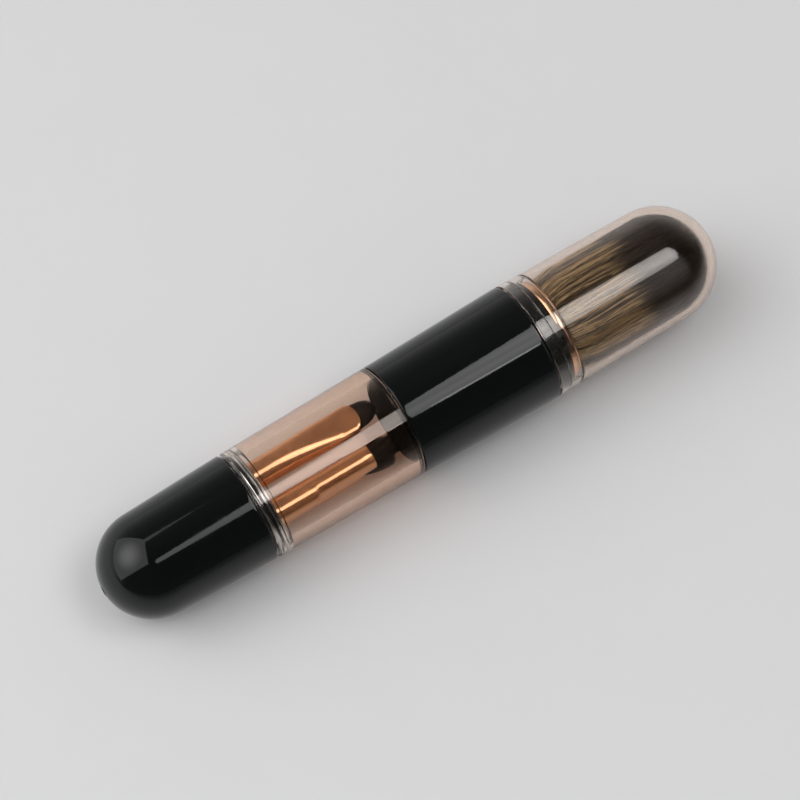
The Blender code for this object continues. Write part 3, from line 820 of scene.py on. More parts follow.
def tan_hair(name, depth):
    """Tan hair with dark brown tips. Each hair has its own tone and its own place where it turns dark. A
    depth below 1 dims all its colours as painted shade.
    """
    look, tree, out = new_material(name)
    colours = bpy.context.scene.brush_colours
    dark_from = BASE_POLE + bpy.context.scene.brush_sizes.dark_from
    place = object_place(tree)
    streaks = noise(tree, stretched(tree, place, (180, 2600, 2600)), 1.0, 3.0)
    uneven = number(tree, "MULTIPLY_ADD", streaks, 0.9, -0.45)
    tone = number(tree, "ADD", uneven, attribute(tree, "tone"))
    tan = mixed_colour(tree, tone, shaded(colours.hair_deep, depth), shaded(colours.hair_light, depth))
    along = add(tree, "ShaderNodeSeparateXYZ", {0: place}).outputs["X"]
    lag = number(tree, "MULTIPLY_ADD", attribute(tree, "edge"), -DARK_LAG, along)
    dark = ranged(tree, lag, tuple(dark_from + length for length in DARK_LENGTH))
    shader = surface(tree, {
        "Base Color": mixed_colour(tree, dark, tan, shaded(colours.hair_tip, depth)),
        "Roughness": 0.5,
        "Specular IOR Level": 0.35,
        "Normal": relief(tree, streaks, 0.4, 0.04 * MM),
    })
    tree.links.new(shader, out["Surface"])
    return look


def brown_hair(name, deepest, palest):
    """Dark brown synthetic hair of the small brushes."""
    look, tree, out = new_material(name)
    colour = bpy.context.scene.brush_colours.small_hair
    streaks = noise(tree, stretched(tree, object_place(tree), (300, 5000, 5000)), 1.0, 2.0)
    tones = shaded(colour, deepest), shaded(colour, palest)
    shader = surface(tree, {
        "Base Color": mixed_colour(tree, attribute(tree, "tone"), *tones),
        "Roughness": ranged(tree, streaks, (0.0, 1.0), (0.35, 0.6), smooth=False),
        "Specular IOR Level": 0.3,
    })
    tree.links.new(shader, out["Surface"])
    return look


GLOSS = {"roughness": 0.05, "smudges": 0.05, "ripple": 0.25, "specular": 0.36}
SATIN = {"roughness": 0.2, "smudges": 0.1, "ripple": 0.4, "specular": 0.5}
MATT = {"roughness": 0.6, "smudges": 0.1, "ripple": 0.4, "specular": 0.03}
FINISHES = {
    "gloss_black_plastic": (black_plastic, GLOSS),
    "satin_black_plastic": (black_plastic, SATIN),
    "matt_black_plastic": (black_plastic, MATT),
    "smoked_clear_plastic": (clear_plastic, {"shade": 0.95}),
    "satin_rose_gold": (rose_gold_metal, {"polished": 0.17, "matt": 0.60}),
    "bright_rose_gold": (rose_gold_metal, {"polished": 0.05, "matt": 0.04}),
    "tan_hair": (tan_hair, {"depth": 1.0}),
    # The tan hair at 0.35 of its colour is painted shade, for the dense mass between and under the powder
    # hairs
    "tan_hair_painted_shade": (tan_hair, {"depth": 0.35}),
    "brown_hair": (brown_hair, {"deepest": 0.6, "palest": 2.0}),
}
MADE_FINISHES = {}


def made_finish(name):
    """The finish of this name, made when it is first asked for."""
    if name not in MADE_FINISHES:
        make, values = FINISHES[name]
        MADE_FINISHES[name] = make(name, **values)
    return MADE_FINISHES[name]


# Hair


def hair_mesh(name, paths, radii, tones, edges, sides=3):
    """Tapered hairs as one mesh. paths is an array of (hair, point, xyz) and radii one of (hair, point)."""
    hairs, rings, _ = paths.shape
    ahead = np.gradient(paths, axis=1)
    ahead /= np.linalg.norm(ahead, axis=2, keepdims=True)
    aside = np.cross(ahead, np.array((0.0, 0.0, 1.0)))
    aside /= np.linalg.norm(aside, axis=2, keepdims=True)
    above = np.cross(ahead, aside)
    start = GOLDEN_ANGLE * np.arange(hairs)
    corners = np.empty((hairs, rings, sides, 3))
    for side in range(sides):
        angle = (start + 2 * math.pi * side / sides)[:, None, None]
        corners[:, :, side] = paths + radii[:, :, None] * (np.cos(angle) * aside + np.sin(angle) * above)
    pattern = np.array(ring_faces(rings, sides, False))
    first = (np.arange(hairs) * rings * sides)[:, None, None]
    tips = first[:, :, 0] + (rings - 1) * sides + np.arange(sides)
    faces = (first + pattern[None]).reshape(-1, 4).tolist() + tips.tolist()
    mesh = new_mesh(name, corners.reshape(-1, 3).tolist(), faces)
    set_values(mesh, tone=np.repeat(tones, rings * sides), edge=np.repeat(edges, rings * sides))
    return mesh


def set_values(mesh, **values):
    """Gives the mesh's corners the values that its material reads."""
    for label, corner_values in values.items():
        data = mesh.attributes.new(label, "FLOAT", "POINT").data
        data.foreach_set("value", corner_values.astype(np.float32))


def tapered(along, start, loss):
    """The share of its radius that a hair keeps: all of it up to start, and less by loss at its tip."""
    return 1.0 - loss * np.clip((along - start) / (1 - start), 0, 1)


def varied(count, chance):
    """Shares, from 0.8 to 1.2, by which hairs are thinner or thicker than usual."""
    return 0.8 + 0.4 * chance.random(count)


def disc_shares(count):
    """How far out each of count points lies that fill a disc evenly."""
    return np.sqrt((np.arange(count) + 0.5) / count)


def head_radius(station, belly):
    """The powder head's radius at a station: it swells from the ferrule and ends in a dome."""
    swell = np.clip((station - POWDER_ROOT) / POWDER_SWELL, 0, 1) ** SWELL_POWER
    past = np.maximum(0.0, station - POWDER_DOME_CENTRE)
    dome = np.sqrt(np.maximum(POWDER_LEAST_RADIUS**2, (belly - POWDER_INSET) ** 2 - past**2))
    return np.minimum(between(POWDER_ROOT_RADIUS, belly, swell), dome)


def powder_paths(count, layer, sizes, chance):
    """Paths, radii, tones and edges of one layer of the powder hair."""
    belly = sizes.powder_radius
    dome = belly - POWDER_INSET
    locks = sizes.hair_clumps
    lock_angle = GOLDEN_ANGLE * np.arange(locks) + chance.normal(0, LOCK_SCATTER, locks)
    lock_tone = chance.random(locks)
    lock_edge = chance.random(locks)
    waves = chance.random((locks, 4)) * 2 * math.pi
    lock = chance.integers(0, locks, count)
    if layer is OUTER_LAYER:
        share = 1.0 - OUTER_DEPTH_SHARE * chance.random(count) ** OUTER_DEPTH_POWER
        angle = lock_angle[lock] + chance.normal(0, layer["scatter"], count)
    else:
        share = disc_shares(count) * INNER_REACH_SHARE
        angle = GOLDEN_ANGLE * np.arange(count) + chance.normal(0, layer["scatter"], count)
    rim_share = between(RIM_FROM_SHARE, 1.0, chance.random(count))
    tip_share = share * np.where(share > RIM_FROM_SHARE, rim_share, INNER_TIP_SHARE)
    tip = POWDER_DOME_CENTRE + np.sqrt(np.maximum(0, dome**2 - (dome * tip_share) ** 2))
    tip -= TIP_UNEVENNESS * chance.random(count) ** 2
    along = np.linspace(0, 1, layer["points"])[None, :]
    stations = between(layer["root"], tip[:, None], along)
    closing = ease((along - CLOSE_FROM_SHARE) / (1 - CLOSE_FROM_SHARE))
    spread = between(share[:, None], tip_share[:, None], closing)
    limit = head_radius(stations, belly)
    radius = np.minimum(spread * np.where(stations < DOME_FROM, limit, belly), limit * UNDER_LIMIT_SHARE)
    wave = sum(
        swing * np.sin(stations / length + waves[lock, index][:, None])
        for index, (swing, length) in enumerate(LOCK_WAVES)
    )
    own = HAIR_WAVE[0] * np.sin(stations / HAIR_WAVE[1] + 2 * math.pi * chance.random(count)[:, None])
    loose = LOOSE_SHARE * ease((along - LOOSE_FROM_SHARE) / (1 - LOOSE_FROM_SHARE))
    gather = layer["gather"] * ease(along / GATHERED_AT_SHARE) * (1 - loose)
    turn = angle[:, None] + (lock_angle[lock] - angle)[:, None] * gather + wave + own
    heights = AXIS_HEIGHT + radius * np.sin(turn)
    paths = np.stack((BASE_POLE + stations, radius * np.cos(turn), heights), axis=-1)
    radii = layer["radius"] * varied(count, chance)[:, None] * tapered(along, *POWDER_TAPER)
    tones = LOCK_TONE_SHARE * lock_tone[lock] ** LOCK_TONE_POWER + HAIR_TONE_SHARE * chance.random(count)
    edges = LOCK_EDGE_SHARE * lock_edge[lock] + (1 - LOCK_EDGE_SHARE) * chance.random(count)
    return paths, radii, np.clip(tones - TONE_DROP, 0, 1), edges


# Pieces


def make_base():
    """Domed black shell with the round mark of the mould's gate at its pole."""
    centre = (BASE_DOME_CENTRE, 0)
    gate_angle = math.pi - math.asin((GATE_RADIUS + GATE_CHAMFER) / BASE_DOME_RADIUS)
    outside = arc(centre, BASE_DOME_RADIUS, gate_angle, math.pi / 2, DOME_STEPS)
    inside = arc(centre, BASE_DOME_RADIUS - BASE_WALL, math.pi / 2, math.pi, DOME_STEPS)
    mouth = (BASE_END, BASE_RIM_RADIUS - BASE_WALL)
    *side, end = crowned(*BASE_SIDE)
    rim = side + rounded(side[-1], end, mouth, BROAD)
    gate = [
        (GATE_DEPTH - GATE_CROWN, 0),
        (GATE_DEPTH, GATE_RADIUS * GATE_FLAT_SHARE),
        (GATE_DEPTH, GATE_RADIUS),
        (outside[0][0] + GATE_CHAMFER, GATE_RADIUS),
    ]
    points = gate + outside + rim + [mouth] + inside
    return put_turned("base_shell", points, "gloss_black_plastic", "base", "base_cap")


def make_holder(sizes):
    """Black insert with a threaded neck and a blind socket for each small brush."""
    bore = BASE_RIM_RADIUS - BASE_WALL - FIT
    start_bore = line_at(HOLDER_START, *BASE_SIDE) - BASE_WALL - FIT
    depth = sizes.thread_depth / 2
    neck = thread_points(CHAMBER_START + THREAD_MARGIN, NECK_END - ROUND, NECK_RADIUS, depth, NECK_CRESTS)
    points = [
        (HOLDER_START, 0),
        *rounded((HOLDER_START, 0), (HOLDER_START, start_bore), (BASE_END, bore), ROUND),
        (HOLDER_STEP, bore),
        (HOLDER_STEP, NECK_RADIUS),
        *neck,
        *rounded((HOLDER_STEP, NECK_RADIUS), (NECK_END, NECK_RADIUS), (NECK_END, 0), ROUND),
        (NECK_END, 0),
    ]
    look = "satin_black_plastic"
    holder = put_turned("holder_insert", points, look, "base", "brush_holder", pitch=sizes.thread_pitch)
    for small in SMALL_BRUSHES:
        radius = small["radius"] + FIT
        mouth = radius + SOCKET_CHAMFER
        hole = [
            (SOCKET_FLOOR, 0),
            (SOCKET_FLOOR, radius),
            (NECK_END + CRISP - SOCKET_CHAMFER, radius),
            (NECK_END + CRISP, mouth),
            (NECK_END + OVERRUN, mouth),
            (NECK_END + OVERRUN, 0),
        ]
        socket = turned("cutter", hole, axis_place(small["seat"]), SMALL_SIDES)
        cutter = bpy.data.objects.new("cutter", socket)
        bpy.context.scene.collection.objects.link(cutter)
        cut = holder.modifiers.new(small["name"], "BOOLEAN")
        cut.operation = "DIFFERENCE"
        cut.solver = "EXACT"
        cut.object = cutter
        bpy.context.view_layer.update()
        made = bpy.data.meshes.new_from_object(holder.evaluated_get(bpy.context.evaluated_depsgraph_get()))
        holder.modifiers.clear()
        holder.data = made
        bpy.data.objects.remove(cutter)
    holder.data.name = "holder_insert"
    holder.data.shade_smooth()
    holder.data.set_sharp_from_angle(angle=SHARP_ANGLE)
    return holder


def make_chamber(sizes):
    """Thick clear tube with a thread inside its mouth and a spigot in the handle."""
    start, end = CHAMBER_SIDE
    corners = outline(
        (*start, FINE),
        (*end, SOFT),
        (CHAMBER_END, SPIGOT_RADIUS, FINE),
        (SPIGOT_END, SPIGOT_RADIUS, SOFT),
        (SPIGOT_END, SPIGOT_BORE),
        (CHAMBER_STEP, SPIGOT_BORE, EASED),
        (CHAMBER_STEP, CHAMBER_LIP_BORE, CRISP),
    )
    thread = thread_points(
        CHAMBER_STEP - THREAD_MARGIN, CHAMBER_START + THREAD_MARGIN, CHAMBER_LIP_BORE, -sizes.thread_depth,
        CHAMBER_CRESTS,
    )
    points = corners + thread + [(CHAMBER_START, CHAMBER_LIP_BORE)]
    look = "smoked_clear_plastic"
    return put_turned("chamber_shell", points, look, "handle", "chamber_tube", pitch=sizes.thread_pitch)


def make_plug():
    """Black cup whose floor closes the handle."""
    bore = PLUG_RADIUS - PLUG_WALL
    points = outline(
        (PLUG_START, 0),
        (PLUG_START, PLUG_RADIUS, ROUND),
        (PLUG_END, PLUG_RADIUS, SOFT),
        (PLUG_END, bore, SOFT),
        (PLUG_START + PLUG_FLOOR, bore, SOFT),
        (PLUG_START + PLUG_FLOOR, 0),
    )
    return put_turned("handle_stopper", points, "matt_black_plastic", "handle", "handle_plug", INNER_SIDES)


def make_handle():
    """Gloss black grip, which widens towards the powder brush."""
    start, end = HANDLE_SIDE
    *first_side, first = crowned(end, start)
    *last_side, last = crowned(start, end)
    points = outline(
        (*first, BROAD),
        *reversed(first_side),
        *last_side,
        (*last, BROAD),
        (HANDLE_END, HANDLE_RADIUS - HANDLE_WALL, FINE),
        (HANDLE_START, CHAMBER_END_RADIUS - HANDLE_WALL, FINE),
    )
    return put_turned("handle_grip", points, "gloss_black_plastic", "handle", "handle_tube", SHELL_SIDES)


def make_core():
    """Black insert in the handle's end, with the neck that the cap is pushed onto."""
    seat = HANDLE_RADIUS - HANDLE_WALL - FIT
    skirt = line_at(CORE_START, *HANDLE_SIDE) - HANDLE_WALL - FIT
    points = outline(
        (CORE_START, skirt, ROUND),
        (HANDLE_END, seat),
        (COLLAR_START, seat),
        (COLLAR_START, CORE_FLANGE_RADIUS, FINE),
        (COLLAR_END, CORE_FLANGE_RADIUS, FINE),
        (COLLAR_END, CORE_NECK_RADIUS, FINE),
        (CORE_END, CORE_NECK_RADIUS, BROAD),
        (CORE_END, CORE_SOCKET_RADIUS, FINE),
        (CORE_WEB_END, CORE_SOCKET_RADIUS),
        (CORE_WEB_END, 0),
        (CORE_WEB_START, 0),
        (CORE_WEB_START, skirt - CORE_WALL),
        (CORE_START, skirt - CORE_WALL),
    )
    return put_turned("head_core", points, "satin_black_plastic", "handle", "brush_core")


def make_collar():
    """Clear band between the handle and the cap."""
    points = outline(
        (COLLAR_START, COLLAR_RADIUS, EASED),
        (COLLAR_END, COLLAR_RADIUS, CRISP),
        (COLLAR_END, COLLAR_BORE, THIN),
        (COLLAR_START, COLLAR_BORE, THIN),
    )
    return put_turned("collar_band", points, "smoked_clear_plastic", "handle", "collar_ring")


def make_powder_ferrule():
    """Rose gold tube whose mouth swells to a rounded bead at the root of the powder hair."""
    middle = (LIP_START + FERRULE_END) / 2
    half = (FERRULE_END - LIP_START) / 2
    bead = (half**2 + LIP_CROWN**2) / (2 * LIP_CROWN)
    lean = math.asin(half / bead)
    centre = (middle, FERRULE_LIP_RADIUS - bead)
    points = [(FERRULE_START, FERRULE_BORE), (FERRULE_START, FERRULE_RADIUS), (LIP_START, FERRULE_RADIUS)]
    points += arc(centre, bead, math.pi / 2 + lean, math.pi / 2 - lean, BEAD_STEPS)
    points.append((FERRULE_END, FERRULE_BORE))
    return put_turned("powder_collar", points, "bright_rose_gold", "handle", "powder_ferrule")


def make_powder_hair(sizes):
    """Powder head: outer locks, the inner hairs that make the dome, and the dense mass under them, dimmed as
    painted shade between the hairs.
    """
    chance = np.random.default_rng(7)
    outer = hair_mesh("powder_locks", *powder_paths(sizes.outer_hairs, OUTER_LAYER, sizes, chance))
    put("powder_locks", outer, "tan_hair", "handle", "powder_hair")
    inner = hair_mesh("powder_dome", *powder_paths(sizes.inner_hairs, INNER_LAYER, sizes, chance))
    put("powder_dome", inner, "tan_hair", "handle", "powder_hair", stands_for=False)
    side = np.linspace(POWDER_FOOT, POWDER_DOME_CENTRE, MASS_SIDE_RINGS)
    dome = POWDER_DOME_CENTRE + MASS_REACH * np.sin(np.linspace(*MASS_DOME_TURN, MASS_DOME_RINGS))
    stations = np.concatenate((side, dome))
    past = np.maximum(0, stations - POWDER_DOME_CENTRE) / (stations[-1] - POWDER_DOME_CENTRE)
    radii = head_radius(stations, sizes.powder_radius) * MASS_SHARE * np.sqrt(np.maximum(0, 1 - past**2))
    points = [(POWDER_FOOT, 0), *zip(stations.tolist(), radii.tolist())]
    mass = turned("powder_mass", points, axis_place(), INNER_SIDES)
    corners = np.ones(len(mass.vertices))
    set_values(mass, tone=MASS_TONE * corners, edge=MASS_EDGE * corners)
    # The mass takes the dimmed tan hair: painted shade for the gaps between the hairs
    put("powder_mass", mass, "tan_hair_painted_shade", "handle", "powder_hair", stands_for=False)


def make_cap():
    """Clear cap with a round end and a fine line turned into its mouth."""
    centre = (CAP_DOME_CENTRE, 0)
    outside = arc(centre, CAP_DOME_RADIUS, math.pi / 2, 0, DOME_STEPS)
    inside = arc(centre, CAP_DOME_RADIUS - CAP_WALL, 0, math.pi / 2, DOME_STEPS)
    mouth = (CAP_START, CAP_LIP_BORE)
    step = (FERRULE_END, CAP_LIP_BORE)
    rim = rounded(mouth, CAP_SIDE[0], outside[0], CRISP)
    step_bore = line_at(FERRULE_END, *CAP_SIDE) - CAP_WALL
    shoulder = rounded(inside[-1], (FERRULE_END, step_bore), step, CAP_SHOULDER)
    line_radius = line_at(CAP_LINE, *CAP_SIDE)
    line = [
        (CAP_LINE + across * GROOVE_HALF_WIDTH, line_radius - down * GROOVE_DEPTH)
        for across, down in GROOVE_SHARES
    ]
    points = rim + line + outside + inside + shoulder + [step, mouth]
    return put_turned("cap_shell", points, "smoked_clear_plastic", "cap", "dome_cap", SHELL_SIDES)


def pressed_ring(size, inset, squareness, station, bow, sides=SMALL_SIDES):
    """A ring of a ferrule. squareness 2 is an oval, and more has flatter faces. bow draws its sides back."""
    ring = []
    for side in range(sides):
        angle = 2 * math.pi * (side + 0.5) / sides
        across = math.copysign(abs(math.cos(angle)) ** (2 / squareness), math.cos(angle))
        up = math.copysign(abs(math.sin(angle)) ** (2 / squareness), math.sin(angle))
        drawn = station - bow * (1 - math.sqrt(1 - across**2))
        ring.append((drawn, (size[0] - inset) * across, (size[1] - inset) * up))
    return ring


def make_small_ferrule(small):
    """Rose gold tube, round at the grip and pressed to its mouth's section, with a rolled mouth."""
    radius = small["radius"]
    wall = SMALL_FERRULE_WALL
    mouth = small["mouth"]
    press_start, press_end = small["press"]
    square_end = mouth if small["crease"] else press_end
    stations = [SMALL_FERRULE_START, SMALL_FERRULE_START + SMALL_FERRULE_HEM]
    stations += list(np.linspace(press_start, press_end, PRESS_RINGS))
    stations += list(np.linspace(press_end, mouth - wall / 2, MOUTH_RINGS))[1:]
    outside = []
    inside = []
    for station in stations:
        pressed = (station - press_start) / (press_end - press_start)
        share = float(np.clip(pressed, 0, 1) ** CREASE_POWER if small["crease"] else ease(pressed))
        size = [between(radius, end, share) for end in small["mouth_size"]]
        square_share = float(ease((station - press_start) / (square_end - press_start)))
        squareness = between(2.0, small["squareness"], square_share)
        bow = small["bow"] * float(ease((station - press_start) / (mouth - press_start))) ** 2
        outside.append(pressed_ring(size, 0, squareness, station, bow))
        inside.append(pressed_ring(size, wall, squareness, station, bow))
    lip = []
    for step in range(1, LIP_STEPS):
        angle = math.pi * step / LIP_STEPS
        inset = wall / 2 * (1 - math.cos(angle))
        ahead = stations[-1] + wall / 2 * math.sin(angle)
        lip.append(pressed_ring(small["mouth_size"], inset, small["squareness"], ahead, small["bow"]))
    rings = outside + lip + inside[::-1]
    corners = [corner for ring in rings for corner in ring]
    name = small["name"] + "_tube"
    place = axis_place(small["seat"], small["roll"])
    mesh = new_mesh(name, corners, ring_faces(len(rings), SMALL_SIDES, True), place)
    tidy_solid(mesh)
    return put(name, mesh, "satin_rose_gold", small["name"], small["name"] + "_ferrule")


def make_small_grip(small):
    """Black grip that stands in the holder's socket, with a tenon for the ferrule."""
    radius = small["radius"]
    tenon = radius - SMALL_FERRULE_WALL - FIT
    shoulder = SMALL_FERRULE_START - FIT
    points = outline(
        (GRIP_FOOT, 0),
        (GRIP_FOOT, radius, GRIP_EDGE),
        (shoulder, radius, EASED),
        (shoulder, tenon),
        (SMALL_FERRULE_START + TENON_LENGTH, tenon, ROUND),
        (SMALL_FERRULE_START + TENON_LENGTH, 0),
    )
    name = small["name"] + "_stem"
    mesh = turned(name, points, axis_place(small["seat"], small["roll"]), SMALL_SIDES)
    return put(name, mesh, "gloss_black_plastic", small["name"], small["name"] + "_grip")


def make_small_hair(small):
    """Dense dark tuft whose tips follow the curve of the mouth."""
    chance = np.random.default_rng(small["seed"])
    count = small["hairs"]
    mouth = small["mouth"]
    angle = GOLDEN_ANGLE * np.arange(count)
    across = disc_shares(count) * np.cos(angle)
    up = disc_shares(count) * np.sin(angle)
    width, thickness = (size - SMALL_FERRULE_WALL - TUFT_GAP for size in small["mouth_size"])
    tip = small["tip"] - small["dome"] * (1 - np.sqrt(1 - across**2))
    tip -= TIP_UNEVENNESS * chance.random(count) ** 2
    along = np.linspace(0, 1, TUFT_POINTS)[None, :]
    stations = between(mouth - TUFT_ROOT, tip[:, None], along)
    open_share = np.clip((stations - mouth) / (small["tip"] - mouth), 0, 1) ** TUFT_OPEN_POWER
    puff = 1.0 + TUFT_PUFF_SHARE * open_share
    close = 1.0 - TUFT_CLOSE_SHARE * ease((along - TUFT_CLOSE_FROM) / (1 - TUFT_CLOSE_FROM))
    turn = TUFT_WAVE_TURN * along + 2 * math.pi * chance.random(count)[:, None]
    wobble = TUFT_WAVE * np.sin(turn) * open_share
    spread = small["flare"] * open_share
    sides = across[:, None] * (width * puff + spread) * close + wobble
    heights = up[:, None] * (thickness * puff + spread) * close + wobble
    place = np.array(axis_place(small["seat"], small["roll"]))
    paths = np.stack((stations, sides, heights), axis=-1) @ place[:3, :3].T + place[:3, 3]
    inward = np.minimum(1.0, TUFT_REACH / np.hypot(paths[..., 1], paths[..., 2] - AXIS_HEIGHT))
    paths[..., 1] *= inward
    paths[..., 2] = AXIS_HEIGHT + (paths[..., 2] - AXIS_HEIGHT) * inward
    radii = SMALL_HAIR_RADIUS * varied(count, chance)[:, None] * tapered(along, *TUFT_TAPER)
    name = small["name"] + "_hair"
    mesh = hair_mesh(name, paths, radii, chance.random(count), chance.random(count))
    return put(name, mesh, "brown_hair", small["name"], small["name"] + "_tuft")


# Stage


def flat_sheet(name, corners, look):
    """A flat stage piece from its corners."""
    mesh = bpy.data.meshes.new(name)
    mesh.from_pydata(corners, [], [tuple(range(len(corners)))])
    mesh.materials.append(look)
    sheet = bpy.data.objects.new(name, mesh)
    bpy.context.scene.collection.objects.link(sheet)
    return sheet


def light_sheet(name, corners, towards, level, brightest, fall, band=None):
    """A light hidden from the camera. fall is how far its light reaches and the share that is left there."""
    look, tree, out = new_material(name + "_light")
    reach, edge_share = fall
    place = object_place(tree)
    away = vector(tree, "DISTANCE", place, brightest)
    strength = ranged(tree, away, (0.0, reach), (level, level * edge_share))
    back = add(tree, "ShaderNodeNewGeometry").outputs["Backfacing"]
    strength = number(tree, "MULTIPLY", strength, number(tree, "SUBTRACT", 1.0, back))
    if band is not None:
        start, way, width, dimmed = band
        along = vector(tree, "DOT_PRODUCT", vector(tree, "SUBTRACT", place, start), way)
        dip = ranged(tree, number(tree, "ABSOLUTE", along), (0.0, width), (dimmed, 1.0))
        strength = number(tree, "MULTIPLY", strength, dip)
    glow = add(tree, "ShaderNodeEmission", {"Color": (1, 1, 1, 1), "Strength": strength})
    tree.links.new(glow.outputs[0], out["Surface"])
    sheet = flat_sheet(name, corners, look)
    if sheet.data.polygons[0].normal.dot(towards) < 0:
        sheet.data.flip_normals()
    sheet.visible_camera = False


def make_floor(colours):
    """Pale matt sheet that the brush rests on, tipped so that it meets both the handle and the base."""
    look, tree, out = new_material("pale_floor")
    place = object_place(tree)
    mottle = noise(tree, place, 45.0, 6.0, roughness=0.6)
    level = ranged(tree, mottle, (0.0, 1.0), (0.985, 1.015), smooth=False)
    # Painted shade: for glossy rays only, the floor's colour is dimmed towards the front, so shiny surfaces
    # reflect it as if shaded, while its own lighting stays as it is
    across = add(tree, "ShaderNodeSeparateXYZ", {0: place}).outputs["Y"]
    painted_shade = ranged(tree, across, (0.0, -FLOOR_SHADE_REACH), (0.0, FLOOR_SHADE_SHARE))
    glossy_ray = add(tree, "ShaderNodeLightPath").outputs["Is Glossy Ray"]
    level_with_painted_shade = number(tree, "SUBTRACT", level, number(tree, "MULTIPLY", glossy_ray, painted_shade))
    tone = add(tree, "ShaderNodeVectorMath", {0: tuple(colours.floor), "Scale": level_with_painted_shade}, operation="SCALE")
    shader = surface(tree, {
        "Base Color": tone.outputs[0],
        "Roughness": 0.6,
        "Specular IOR Level": 0.2,
        "Normal": relief(tree, noise(tree, place, 1500.0, 3.0), 0.1, 0.1 * MM),
    })
    tree.links.new(shader, out["Surface"])
    reach = FLOOR_REACH
    slope = math.tan(FLOOR_TILT)
    corners = [
        (x, y, -FLOOR_DROP - (x - FLOOR_TOUCH) * slope)
        for x, y in ((-reach, -reach), (reach, -reach), (reach, reach), (-reach, reach))
    ]
    return flat_sheet("floor", corners, look)


def met(way, facing, distance, start=Vector()):
    """Where the ray from start meets the plane that faces it at this distance."""
    way = Vector(way)
    return start + way * (distance / way.dot(facing))


def make_lights(lights):
    """The soft box overhead with its bright edge, the large one behind to the left and a card in front."""
    down = Vector((0, 0, -1))
    key = [(x, y, KEY_HEIGHT) for x, y in KEY_OUTLINE]
    light_sheet("soft_box", key, down, lights.key, KEY_BRIGHTEST, KEY_FALL, KEY_BAND)
    rim = [(x, y, RIM_HEIGHT) for x, y in RIM_OUTLINE]
    light_sheet("soft_box_rim", rim, down, lights.key * RIM_LEVEL_SHARE, RIM_BRIGHTEST, KEY_FALL)
    facing = Vector(WINDOW_FACING).normalized()
    window = [met(way, facing, WINDOW_DISTANCE, Vector(WINDOW_FROM)) for way in WINDOW_CORNERS]
    middle = sum(window, Vector()) / len(window)
    light_sheet("window", window, -facing, lights.window, middle, WINDOW_FALL)
    facing = sum((Vector(way) for way in CARD_CORNERS), Vector()).normalized()
    card = [met(way, facing, CARD_DISTANCE) for way in CARD_CORNERS]
    brightest = met(CARD_BRIGHTEST, facing, CARD_DISTANCE)
    light_sheet("card", card, -facing, lights.card, brightest, CARD_FALL)


def make_world(lights):
    """A room that shiny surfaces show pale near the floor and dark overhead and in front, and even fill."""
    world = bpy.data.worlds.new("room")
    bpy.context.scene.world = world
    world.use_nodes = True
    tree = world.node_tree
    tree.nodes.clear()
    coords = add(tree, "ShaderNodeTexCoord")
    way = add(tree, "ShaderNodeSeparateXYZ", {0: coords.outputs["Generated"]}).outputs
    ramp = add(tree, "ShaderNodeValToRGB", {"Fac": way["Z"]})
    elements = ramp.color_ramp.elements
    while len(elements) < len(ROOM_STOPS):
        elements.new(0.5)
    for element, (position, level) in zip(elements, ROOM_STOPS):
        element.position = position
        element.color = (level, level, level, 1)
    side = ranged(tree, way["Y"], ROOM_TURN, (lights.surround * ROOM_FRONT_SHARE, lights.surround))
    room = add(tree, "ShaderNodeBackground", {"Color": ramp.outputs["Color"], "Strength": side})
    fill = add(tree, "ShaderNodeBackground", {"Color": (1, 1, 1, 1), "Strength": lights.fill})
    path = add(tree, "ShaderNodeLightPath").outputs
    seen = number(tree, "MAXIMUM", path["Is Glossy Ray"], path["Is Transmission Ray"])
    mixed = add(tree, "ShaderNodeMixShader", {0: seen, 1: fill.outputs[0], 2: room.outputs[0]})
    out = tree.nodes.new("ShaderNodeOutputWorld")
    tree.links.new(mixed.outputs[0], out.inputs["Surface"])


def make_camera():
    """The camera that sees the brush as the photograph does."""
    data = bpy.data.cameras.new("camera")
    data.lens = CAMERA_LENS
    data.sensor_width = CAMERA_SENSOR
    data.clip_start = CAMERA_NEAR
    camera = bpy.data.objects.new("camera", data)
    camera.location = CAMERA_PLACE
    camera.rotation_euler = CAMERA_TURN
    bpy.context.scene.collection.objects.link(camera)
    bpy.context.scene.camera = camera


# Operators and panel


class MakeBase(bpy.types.Operator):
    """Make the domed black base and the insert that holds the small brushes"""

    bl_idname = "makeup_brush.base"
    bl_label = "Base and holder"

    def execute(self, context):
        make_base()
        make_holder(context.scene.brush_sizes)
        return {"FINISHED"}


class MakeChamber(bpy.types.Operator):
    """Make the clear chamber that the small brushes reach into"""

    bl_idname = "makeup_brush.chamber"
    bl_label = "Clear chamber"

    def execute(self, context):
        make_chamber(context.scene.brush_sizes)
        return {"FINISHED"}


class MakeSmallBrushes(bpy.types.Operator):
    """Make the three small brushes: grips, ferrules and tufts"""

    bl_idname = "makeup_brush.small_brushes"
    bl_label = "Small brushes"

    def execute(self, context):
        for small in SMALL_BRUSHES:
            make_small_grip(small)
            make_small_ferrule(small)
            make_small_hair(small)
        return {"FINISHED"}


class MakeHandle(bpy.types.Operator):
    """Make the black handle tube, its stopper, its core and the clear collar"""

    bl_idname = "makeup_brush.handle"
    bl_label = "Handle"

    def execute(self, context):
        make_plug()
        make_handle()
        make_core()
        make_collar()
        return {"FINISHED"}


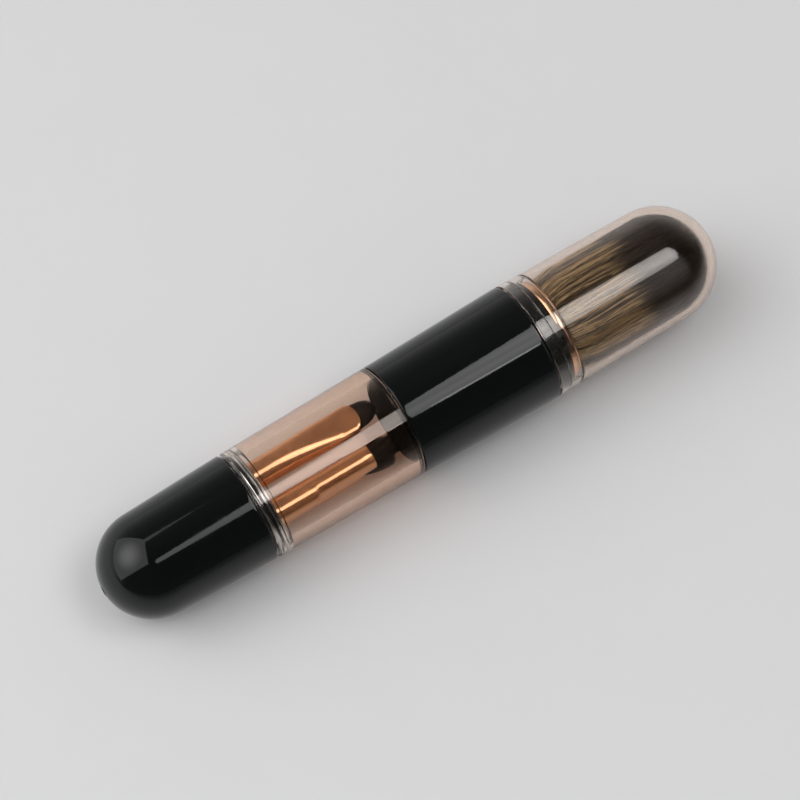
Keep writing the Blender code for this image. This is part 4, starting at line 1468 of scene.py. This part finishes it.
class MakePowderHead(bpy.types.Operator):
    """Make the powder brush's ferrule and hair"""

    bl_idname = "makeup_brush.powder_head"
    bl_label = "Powder head"

    def execute(self, context):
        make_powder_ferrule()
        make_powder_hair(context.scene.brush_sizes)
        return {"FINISHED"}


class MakeCap(bpy.types.Operator):
    """Make the clear domed cap"""

    bl_idname = "makeup_brush.cap"
    bl_label = "Dome cap"

    def execute(self, context):
        make_cap()
        return {"FINISHED"}


class MakeStage(bpy.types.Operator):
    """Make the floor, the soft boxes, the room and the camera"""

    bl_idname = "makeup_brush.stage"
    bl_label = "Stage"

    def execute(self, context):
        make_floor(context.scene.brush_colours)
        make_lights(context.scene.brush_lights)
        make_world(context.scene.brush_lights)
        make_camera()
        context.scene.view_settings.view_transform = "Standard"
        return {"FINISHED"}


OPERATORS = (MakeStage, MakeBase, MakeChamber, MakeSmallBrushes, MakeHandle, MakePowderHead, MakeCap)
GROUPS = (("brush_sizes", BrushSizes), ("brush_colours", BrushColours), ("brush_lights", BrushLights))


class BrushPanel(bpy.types.Panel):
    """Sizes, colours, lights and steps of the makeup brush"""

    bl_idname = "VIEW3D_PT_makeup_brush"
    bl_label = "Portable makeup brush"
    bl_space_type = "VIEW_3D"
    bl_region_type = "UI"
    bl_category = "Brush"

    def draw(self, context):
        for name, group in GROUPS:
            box = self.layout.box()
            for key in group.__annotations__:
                box.prop(getattr(context.scene, name), key)
        for step in OPERATORS:
            self.layout.operator(step.bl_idname)


def register():
    for name, group in GROUPS:
        bpy.utils.register_class(group)
        setattr(bpy.types.Scene, name, PointerProperty(type=group))
    for made in (*OPERATORS, BrushPanel):
        bpy.utils.register_class(made)


def unregister():
    for made in (BrushPanel, *reversed(OPERATORS)):
        bpy.utils.unregister_class(made)
    for name, group in reversed(GROUPS):
        delattr(bpy.types.Scene, name)
        bpy.utils.unregister_class(group)


def main():
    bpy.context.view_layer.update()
    register()
    bpy.ops.makeup_brush.stage()
    bpy.ops.makeup_brush.base()
    bpy.ops.makeup_brush.chamber()
    bpy.ops.makeup_brush.small_brushes()
    bpy.ops.makeup_brush.handle()
    bpy.ops.makeup_brush.powder_head()
    bpy.ops.makeup_brush.cap()


if __name__ == "__main__":
    main()
